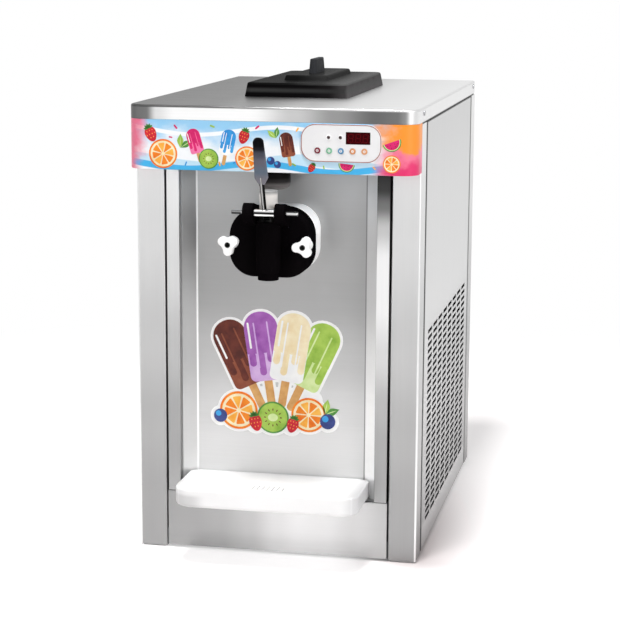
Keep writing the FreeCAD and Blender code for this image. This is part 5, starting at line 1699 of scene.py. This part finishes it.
@dataclass
class DripTray(Assembly):
    """The white tray, its grid and the bracket that carries it."""

    # Painted shade darkens both ends of the tray and its grid.
    stops: Stops = ((0.0, (228, 228, 229)), (0.04, (245, 245, 245)), (0.5, (249, 249, 249)),
                    (0.9, (245, 245, 245)), (1.0, (208, 208, 209)))
    roughness: Pair = (0.36, 0.48)
    specular: float = 0.35
    left_end_shade_levels: Levels = ((0.0, 214), (0.55, 216), (0.8, 244), (1.0, 249))
    front_fade: Pair = (-0.056, -0.03)
    lit: float = 0.5
    wall: Pair = (0.007, 0.011)
    floor: Pair = (-0.002, -0.0028)
    coats: Coats = (
        (Moulded("bracket_zinc", (176, 178, 180), (150, 152, 155), (0.36, 0.5), metallic=1.0, mottling=30.0),
         ("tray_bracket",)),)

    def dress(self) -> None:
        """Gives the tray its finishes."""
        low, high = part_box("drip_tray")
        across = RIGHTWARDS, low.x, high.x, self.stops, self.roughness, self.specular
        # Painted shade on the tray's left end, darker towards its foot.
        patch = Zone(Axis.X, short_of(low.x, self.front_fade), Tone(Axis.Z, low.z, high.z, self.left_end_shade_levels))
        # The tray's inside glows with painted light, though it is no lamp, so the shade under the grid's
        # slots reads pale.
        inside = (Zone(Axis.X, short_of(high.x, self.wall), centre=0.0),
                  Zone(Axis.Y, short_of((high.y - low.y) / 2, self.wall), centre=(low.y + high.y) / 2),
                  Zone(Axis.Z, short_of(low.z, self.floor)))
        dress(Graded("tray_white_painted_light", *across, zones=(patch,), painted_glow_zones=inside, lit=self.lit), "drip_tray")
        dress(Graded("grid_white", *across), "drip_grid")
        super().dress()


@dataclass
class Dispenser(Assembly):
    """The freezer door with its nuts, valve, lever and hood."""

    block_stops: Stops = ((0.0, (253, 253, 252)), (1.0, (255, 255, 254)))
    block_painted_glow: float = 0.28
    block_side: Pair = (0.045, 0.02)
    block_top: Pair = (0.075, 0.01)
    stud_radius: float = 0.004
    stud_gap: float = 0.0002
    valve_stops: Stops = ((0.0, (16, 15, 15)), (0.45, (18, 17, 17)), (0.55, (232, 228, 224)),
                          (1.0, (240, 236, 232)))
    valve_reach: float = 0.012
    valve_head: Pair = (0.008, 0.001)
    valve_head_shade_level: float = 152.0
    polish: Pair = (0.12, 0.2)
    pin_radius: float = 0.0028
    pin_end: Pair = (-0.033, -0.037)
    pin_reflection_levels: Levels = ((0.0, 24), (0.25, 120), (0.5, 236), (0.72, 220), (0.9, 70), (1.0, 24))
    pin_end_reflection_levels: Levels = ((0.0, 18), (0.4, 36), (0.6, 130), (0.8, 150), (1.0, 60))
    eye_radius: float = 0.006
    eye_reflection_levels: Levels = ((0.0, 30), (0.1, 190), (0.28, 236), (0.42, 60), (0.6, 22), (0.72, 226), (0.86, 236),
                          (1.0, 60))
    rod_radius: float = 0.0036
    rod_start: Pair = (0.9, 1.1)
    rod_reflection_levels: Levels = ((0.0, 24), (0.2, 44), (0.36, 150), (0.5, 160), (0.62, 50), (0.8, 12), (1.0, 10))
    grip_lean: float = 21.0
    grip_coat_and_reflection_stops: Stops = ((0.0, (132, 132, 138)), (0.12, (124, 122, 130)), (0.3, (100, 112, 126)),
                         (0.5, (104, 102, 114)), (0.66, (76, 78, 88)), (0.77, (28, 27, 32)),
                         (0.85, (8, 7, 10)), (1.0, (5, 4, 7)))
    hood_shade_and_reflection_stops: Stops = ((0.0, (158, 154, 152)), (0.22, (112, 108, 107)), (0.48, (44, 42, 42)),
                         (0.7, (14, 13, 13)), (1.0, (6, 5, 5)))
    dull: float = 0.03
    coats: Coats = (
        (Moulded("stud_dark", (58, 56, 54), (40, 39, 38), (0.4, 0.5), metallic=0.6), ("door_studs",)),
        (Moulded("door_black", (10, 8, 10), (14, 12, 13), (0.3, 0.42), specular=0.0, grain=700.0,
                 relief=0.03), ("freezer_door", "valve_barrel")),
        (Moulded("seal_rubber", (44, 44, 46), (58, 58, 60), (0.6, 0.72), grain=1500.0), ("door_gasket",)))

    def dress(self) -> None:
        """Gives the dispenser its finishes."""
        super().dress()
        low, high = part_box("pivot_pin")
        height = (low.z + high.z) / 2
        self.dress_block()
        self.dress_nuts()
        self.dress_valve(height)
        self.dress_bars(height)
        self.dress_grip()
        # The hood's tone is painted: shade from the fascia at its top, a pale reflection at its foot.
        low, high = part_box("switch_hood")
        hood = Graded("hood_painted_light", UPWARDS, low.z, high.z, self.hood_shade_and_reflection_stops, (0.36, 0.46), self.dull)
        dress(hood, "switch_hood")

    def dress_block(self) -> None:
        """Gives the white block a finish with a painted glow at its upper right, which lifts its shaded rim.
        """
        low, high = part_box("cylinder_front_block")
        rim = Zone(Axis.X, short_of(high.x, self.block_side)), Zone(Axis.Z, short_of(high.z, self.block_top))
        dress(Graded("block_white_painted_glow", RIGHTWARDS, low.x, high.x, self.block_stops, (0.32, 0.44), specular=0.3,
                     grain=1300.0, painted_glow_zones=rim, lit=self.block_painted_glow), "cylinder_front_block")

    def dress_nuts(self) -> None:
        """Gives the hand nuts a white finish with painted shade inside their bores."""
        low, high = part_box("door_studs")
        for node, end in (("left_hand_nut", low.x), ("right_hand_nut", high.x)):
            x = end * (1.0 - self.stud_radius / high.x)
            bore = Bore(x, (low.z + high.z) / 2, self.stud_radius + self.stud_gap)
            dress(Moulded(node + "_white", (255, 255, 254), (250, 250, 249), (0.32, 0.44), specular=0.45,
                          grain=1300.0, bore=bore), node)

    def dress_valve(self, height: float) -> None:
        """Gives the draw valve its dark stem below its pale head, whose top has painted shade under the hood.

        Args:
            height: The pivot's height.
        """
        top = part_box("draw_valve")[1].z
        head = Zone(Axis.Z, short_of(top, self.valve_head), Tone.even(self.valve_head_shade_level))
        start, end = height - self.valve_reach, height + self.valve_reach
        dress(Graded("valve_white", UPWARDS, start, end, self.valve_stops, zones=(head,)), "draw_valve")

    def dress_bars(self, height: float) -> None:
        """Gives the pin and the lever polished tones with painted reflections: dark edges beside bright
        streaks.

        Args:
            height: The pivot's height.
        """
        pin, dim = (Tone(Axis.Z, height - self.pin_radius, height + self.pin_radius, levels)
                    for levels in (self.pin_reflection_levels, self.pin_end_reflection_levels))
        # The pin's left end gets a dimmer painted reflection.
        left_end = Zone(Axis.X, self.pin_end, dim)
        dress(BrushedSteel("polished_pin", pin, (left_end,), Axis.X, roughness=self.polish), "pivot_pin")
        eye = Tone(Axis.Z, height - self.eye_radius, height + self.eye_radius, self.eye_reflection_levels)
        rod = Tone(Axis.X, -self.rod_radius, self.rod_radius, self.rod_reflection_levels)
        begin, full = (height + self.eye_radius * share for share in self.rod_start)
        stem = Zone(Axis.Z, (begin, full), rod)
        dress(BrushedSteel("polished_lever", eye, (stem,), roughness=self.polish), "draw_lever")

    def dress_grip(self) -> None:
        """Gives the lever's grip a colour that darkens along its length: its black coat above a painted
        reflection.
        """
        lean = math.radians(self.grip_lean)
        low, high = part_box("lever_grip")
        axis = (0.0, -math.sin(lean), math.cos(lean))
        start, end = (Vector(axis).dot((0.0, y, z)) for y, z in ((high.y, low.z), (low.y, high.z)))
        dress(Graded("grip_slate", axis, start, end, self.grip_coat_and_reflection_stops, (0.3, 0.4), self.dull), "lever_grip")


@dataclass
class Hopper(Assembly):
    """The hopper in the cover with its air tube and lid."""

    lid_line: float = 0.7385
    lid_specular: float = 0.0006
    side_stops_with_reflection: Stops = ((0.0, (12, 11, 12)), (0.6, (14, 13, 14)), (0.8, (24, 22, 23)), (0.96, (54, 52, 53)),
                         (1.0, (88, 86, 87)))
    crown_reflection_levels: Levels = ((0.0, 16), (0.4, 22), (0.7, 48), (1.0, 84))
    crown_fade: Pair = (0.0022, 0.0008)
    painted_sheen_levels: Levels = ((0.0, 54), (0.6, 48), (0.85, 44), (0.95, 50), (1.0, 86))
    sheen_fade: Pair = (0.0055, 0.0005)
    sheen_drop: float = 0.0105
    coats: Coats = (
        (BrushedSteel("steel_hopper", Tone(Axis.Z, 0.55, 0.72, ((0.0, 150), (0.6, 185), (1.0, 214))),
                      streaks=0.03), ("hopper",)),
        (Moulded("tube_white", (238, 238, 236), (226, 226, 224), (0.36, 0.48)), ("air_tube",)),
        (Moulded("handle_dark", (46, 47, 50), (60, 61, 64), (0.4, 0.52), specular=0.01, grain=1200.0),
         ("lid_handle",)))

    def dress(self) -> None:
        """Gives the hopper and the lid their finishes."""
        super().dress()
        low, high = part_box("hopper_lid")
        # Painted reflections: a crown lighter to the right, a sheen band on the front, a lighter right side.
        top, glint = (Tone(Axis.X, low.x, high.x, levels)
                      for levels in (self.crown_reflection_levels, self.painted_sheen_levels))
        sheen = Zone(Axis.Z, self.sheen_fade, glint, centre=self.lid_line - self.sheen_drop)
        crown = Zone(Axis.Z, short_of(self.lid_line, self.crown_fade), top)
        dress(Graded("lid_black", RIGHTWARDS, low.x, high.x, self.side_stops_with_reflection, (0.26, 0.4), self.lid_specular,
                     zones=(sheen, crown)), "hopper_lid")


@dataclass
class Drive(Assembly):
    """The freezing cylinder, beater, gears, belt and motor inside the cabinet."""

    coats: Coats = (
        (BrushedSteel("drawn_steel", Tone(Axis.Y, -0.3, 0.1, ((0.0, 190), (1.0, 200))), grain=Axis.Y),
         ("freezing_cylinder",)),
        (Moulded("beater_steel", (196, 197, 200), (170, 172, 176), (0.2, 0.32), metallic=1.0, mottling=40.0),
         ("beater",)),
        (Moulded("blade_white", (238, 236, 228), (226, 222, 212), (0.4, 0.5)), ("scraper_blades",)),
        (Moulded("copper_tube", (196, 118, 84), (150, 84, 58), (0.26, 0.42), metallic=1.0, mottling=24.0),
         ("evaporator_coil", "refrigerant_pipes")),
        (Moulded("foam_block", (236, 222, 176), (222, 202, 148), (0.8, 0.95), specular=0.2, mottling=60.0,
                 grain=500.0, relief=0.5), ("insulation_block",)),
        (Moulded("gear_steel", (130, 132, 136), (104, 106, 110), (0.28, 0.42), metallic=1.0, mottling=50.0),
         ("output_gear", "pinion_shaft")),
        (Moulded("cast_housing", (120, 124, 128), (98, 102, 106), (0.55, 0.7), metallic=0.6, grain=420.0,
                 relief=0.4), ("gearbox",)),
        (Moulded("pulley_alloy", (178, 180, 184), (150, 152, 156), (0.3, 0.44), metallic=1.0, mottling=40.0),
         ("driven_pulley", "motor_pulley")),
        (Moulded("belt_rubber", (32, 32, 33), (46, 46, 47), (0.65, 0.8), grain=1300.0, relief=0.3),
         ("drive_belt",)),
        (Moulded("motor_paint", (72, 84, 96), (58, 68, 80), (0.4, 0.55), grain=600.0, relief=0.2),
         ("drive_motor",)))


@dataclass
class Refrigeration(Assembly):
    """The compressor, condenser, fan and electrical parts on the base."""

    coats: Coats = (
        (Moulded("compressor_black", (30, 31, 33), (42, 43, 45), (0.34, 0.5), grain=500.0, relief=0.15),
         ("compressor",)),
        (Moulded("fin_alloy", (84, 86, 88), (62, 64, 66), (0.36, 0.5), metallic=1.0, mottling=40.0),
         ("condenser",)),
        (Moulded("shroud_black", (38, 39, 41), (50, 51, 53), (0.45, 0.6), grain=700.0),
         ("fan_shroud", "fan_motor")),
        (Moulded("blade_alloy", (168, 170, 172), (146, 148, 151), (0.34, 0.48), metallic=1.0, mottling=30.0),
         ("fan_blade",)),
        (Moulded("box_zinc", (172, 174, 176), (150, 152, 155), (0.4, 0.54), metallic=1.0, mottling=30.0),
         ("electrical_box",)),
        (Moulded("gland_black", (28, 28, 30), (40, 40, 42), (0.42, 0.55), grain=1200.0), ("cord_gland",)))


@dataclass(frozen=True)
class Lamp:
    """A soft square lamp that looks at the machine, with its power in watts."""

    name: str
    place: Colour
    size: float
    power: float
    target: Colour = (0.0, 0.0, 0.38)

    def build(self) -> None:
        """Builds the lamp."""
        data = bpy.data.lights.new(self.name, "AREA")
        data.size = self.size
        data.energy = self.power
        towards = Vector(self.target) - Vector(self.place)
        turn = towards.to_track_quat("-Z", "Y").to_matrix().to_4x4()
        show(self.name, data).matrix_world = Matrix.Translation(self.place) @ turn


@dataclass
class Studio:
    """The floor, lamps, world and camera. The floor's glow is lower in the machine's shade."""

    camera_place: Colour = (0.6393, -3.1036, 0.9419)
    yaw: float = 11.703
    pitch: float = 10.626
    roll: float = 0.303
    lens: float = 109.76
    sensor: float = 36.0
    view_depth: float = 200.0
    floor_size: float = 60.0
    floor_colours: tuple[Colour, Colour] = ((238, 235, 235), (240, 237, 237))
    floor_clouds: float = 3.0
    floor_roughness: float = 0.9
    floor_specular: float = 0.1
    shade_glow: Pair = (0.02, 0.36)
    clear_glow: float = 0.5
    shade_x: Pair = (0.08, 0.22)
    shade_y: Pair = (-0.36, -0.26)
    fade_y: Pair = (-0.22, 0.36)
    thin_x: Pair = (0.235, 0.365)
    painted_shadow_tint: Colour = (214, 205, 205)
    tint_range: Pair = (1.0, 0.25)
    shade_reach: Pair = (0.9, 1.7)
    sky_fill: float = 0.34
    lamps: tuple[Lamp, ...] = (Lamp("key_lamp", (-0.06, -1.15, 4.2), 0.6, 122.0),
                               Lamp("right_lamp", (3.0, -2.1, 1.5), 1.5, 54.0),
                               Lamp("left_lamp", (-2.6, -2.0, 1.6), 1.6, 14.0))

    def build(self) -> None:
        """Builds the whole studio."""
        self.build_floor()
        self.build_world()
        self.build_camera()
        for lamp in self.lamps:
            lamp.build()

    def build_floor(self) -> None:
        """Builds the pale floor that the machine stands on."""
        mesh = bmesh.new()
        bmesh.ops.create_grid(mesh, x_segments=1, y_segments=1, size=self.floor_size / 2)
        floor = show("studio_floor", mesh_data("studio_floor", mesh))
        floor.data.materials.append(self.floor_material())
        LOG.info("built studio_floor")

    def floor_material(self) -> Material:
        """Makes the floor's material, which keeps the machine's shadow, adds a painted shadow at its right
        and is white to the eye further off.

        Returns:
            The material.
        """
        graph = Graph("studio_floor")
        graph.fix(Roughness=self.floor_roughness, Specular_IOR_Level=self.floor_specular)
        x, y = graph.along(Axis.X), graph.along(Axis.Y)
        beside = graph.sum("MULTIPLY", graph.span(x, *self.shade_x, smooth=True),
                           graph.span(y, *self.shade_y, smooth=True))
        shaded = graph.sum("MULTIPLY", beside, graph.span(x, *self.thin_x, 1.0, 0.0))
        clouds = graph.noise(self.floor_clouds, detail=2.0)
        pale = graph.mix(clouds, *(paint(colour) for colour in self.floor_colours))
        # A painted shadow tint darkens the floor beside the machine's right side, fading towards the back.
        tint = graph.sum("MULTIPLY", shaded, graph.span(y, *self.fade_y, *self.tint_range))
        graph.link(graph.mix(tint, pale, paint(self.painted_shadow_tint)), graph.shader.inputs["Base Color"])
        shade = graph.span(y, *self.fade_y, *self.shade_glow, smooth=True)
        drop = graph.sum("MULTIPLY", shaded, graph.sum("SUBTRACT", self.clear_glow, shade))
        glow = graph.sum("SUBTRACT", self.clear_glow, drop)
        seen = self.seen(graph.tree)
        near, far = graph.add("ShaderNodeEmission"), graph.add("ShaderNodeEmission")
        graph.link(graph.sum("MULTIPLY", seen, glow), near.inputs["Strength"])
        far.inputs["Strength"].default_value = 1.0
        both, lit = graph.add("ShaderNodeMixShader"), graph.add("ShaderNodeAddShader")
        away = graph.span(graph.measure("LENGTH"), *self.shade_reach, smooth=True)
        graph.link(graph.shader.outputs[0], lit.inputs[0])
        graph.link(near.outputs[0], lit.inputs[1])
        graph.link(graph.sum("MULTIPLY", away, seen), both.inputs[0])
        graph.link(lit.outputs[0], both.inputs[1])
        graph.link(far.outputs[0], both.inputs[2])
        graph.link(both.outputs[0], graph.output)
        return graph.material

    def seen(self, tree: bpy.types.NodeTree) -> Socket:
        """Finds whether a ray shows the background to the eye, straight, in a reflection or through glass.

        Args:
            tree: The node tree.

        Returns:
            The answer's socket, 0 or 1.
        """
        path = tree.nodes.new("ShaderNodeLightPath")
        found = path.outputs["Is Camera Ray"]
        for name in ("Is Glossy Ray", "Is Transmission Ray"):
            node = tree.nodes.new("ShaderNodeMath")
            node.operation = "MAXIMUM"
            tree.links.new(found, node.inputs[0])
            tree.links.new(path.outputs[name], node.inputs[1])
            found = node.outputs[0]
        return found

    def build_world(self) -> None:
        """Builds the white background and the soft light that comes from all round."""
        world = bpy.data.worlds.new("studio_world")
        bpy.context.scene.world = world
        world.use_nodes = True
        tree = world.node_tree
        tree.nodes.clear()
        both, output = tree.nodes.new("ShaderNodeMixShader"), tree.nodes.new("ShaderNodeOutputWorld")
        tree.links.new(self.seen(tree), both.inputs[0])
        for number, strength in ((1, self.sky_fill), (2, 1.0)):
            light = tree.nodes.new("ShaderNodeBackground")
            light.inputs["Strength"].default_value = strength
            light.inputs["Color"].default_value = (1.0, 1.0, 1.0, 1.0)
            tree.links.new(light.outputs[0], both.inputs[number])
        tree.links.new(both.outputs[0], output.inputs["Surface"])

    def build_camera(self) -> None:
        """Builds the camera at the photograph's viewpoint."""
        data = bpy.data.cameras.new("photo_camera")
        data.sensor_width = self.sensor
        data.lens = self.lens
        data.clip_end = self.view_depth
        yaw, pitch, roll = (math.radians(angle) for angle in (self.yaw, self.pitch, self.roll))
        ahead = Vector((-math.sin(yaw) * math.cos(pitch), math.cos(yaw) * math.cos(pitch), -math.sin(pitch)))
        level = Vector((math.cos(yaw), math.sin(yaw), 0.0))
        upright = level.cross(ahead)
        right = level * math.cos(roll) + upright * math.sin(roll)
        up = upright * math.cos(roll) - level * math.sin(roll)
        turn = Matrix((right, up, -ahead)).transposed()
        camera = show("photo_camera", data)
        camera.matrix_world = Matrix.Translation(self.camera_place) @ turn.to_4x4()
        bpy.context.scene.camera = camera


def main() -> None:
    """Builds and dresses the machine, then its studio."""
    logging.basicConfig(level=logging.INFO, format="%(message)s")
    bpy.context.scene.view_settings.view_transform = "Standard"
    for group in (Cabinet(), Fascia(), ControlPanel(), Recess(), DripTray(), Dispenser(), Hopper(), Drive(),
                  Refrigeration()):
        group.dress()
        group.build()
    Studio().build()


if __name__ == "__main__":
    main()
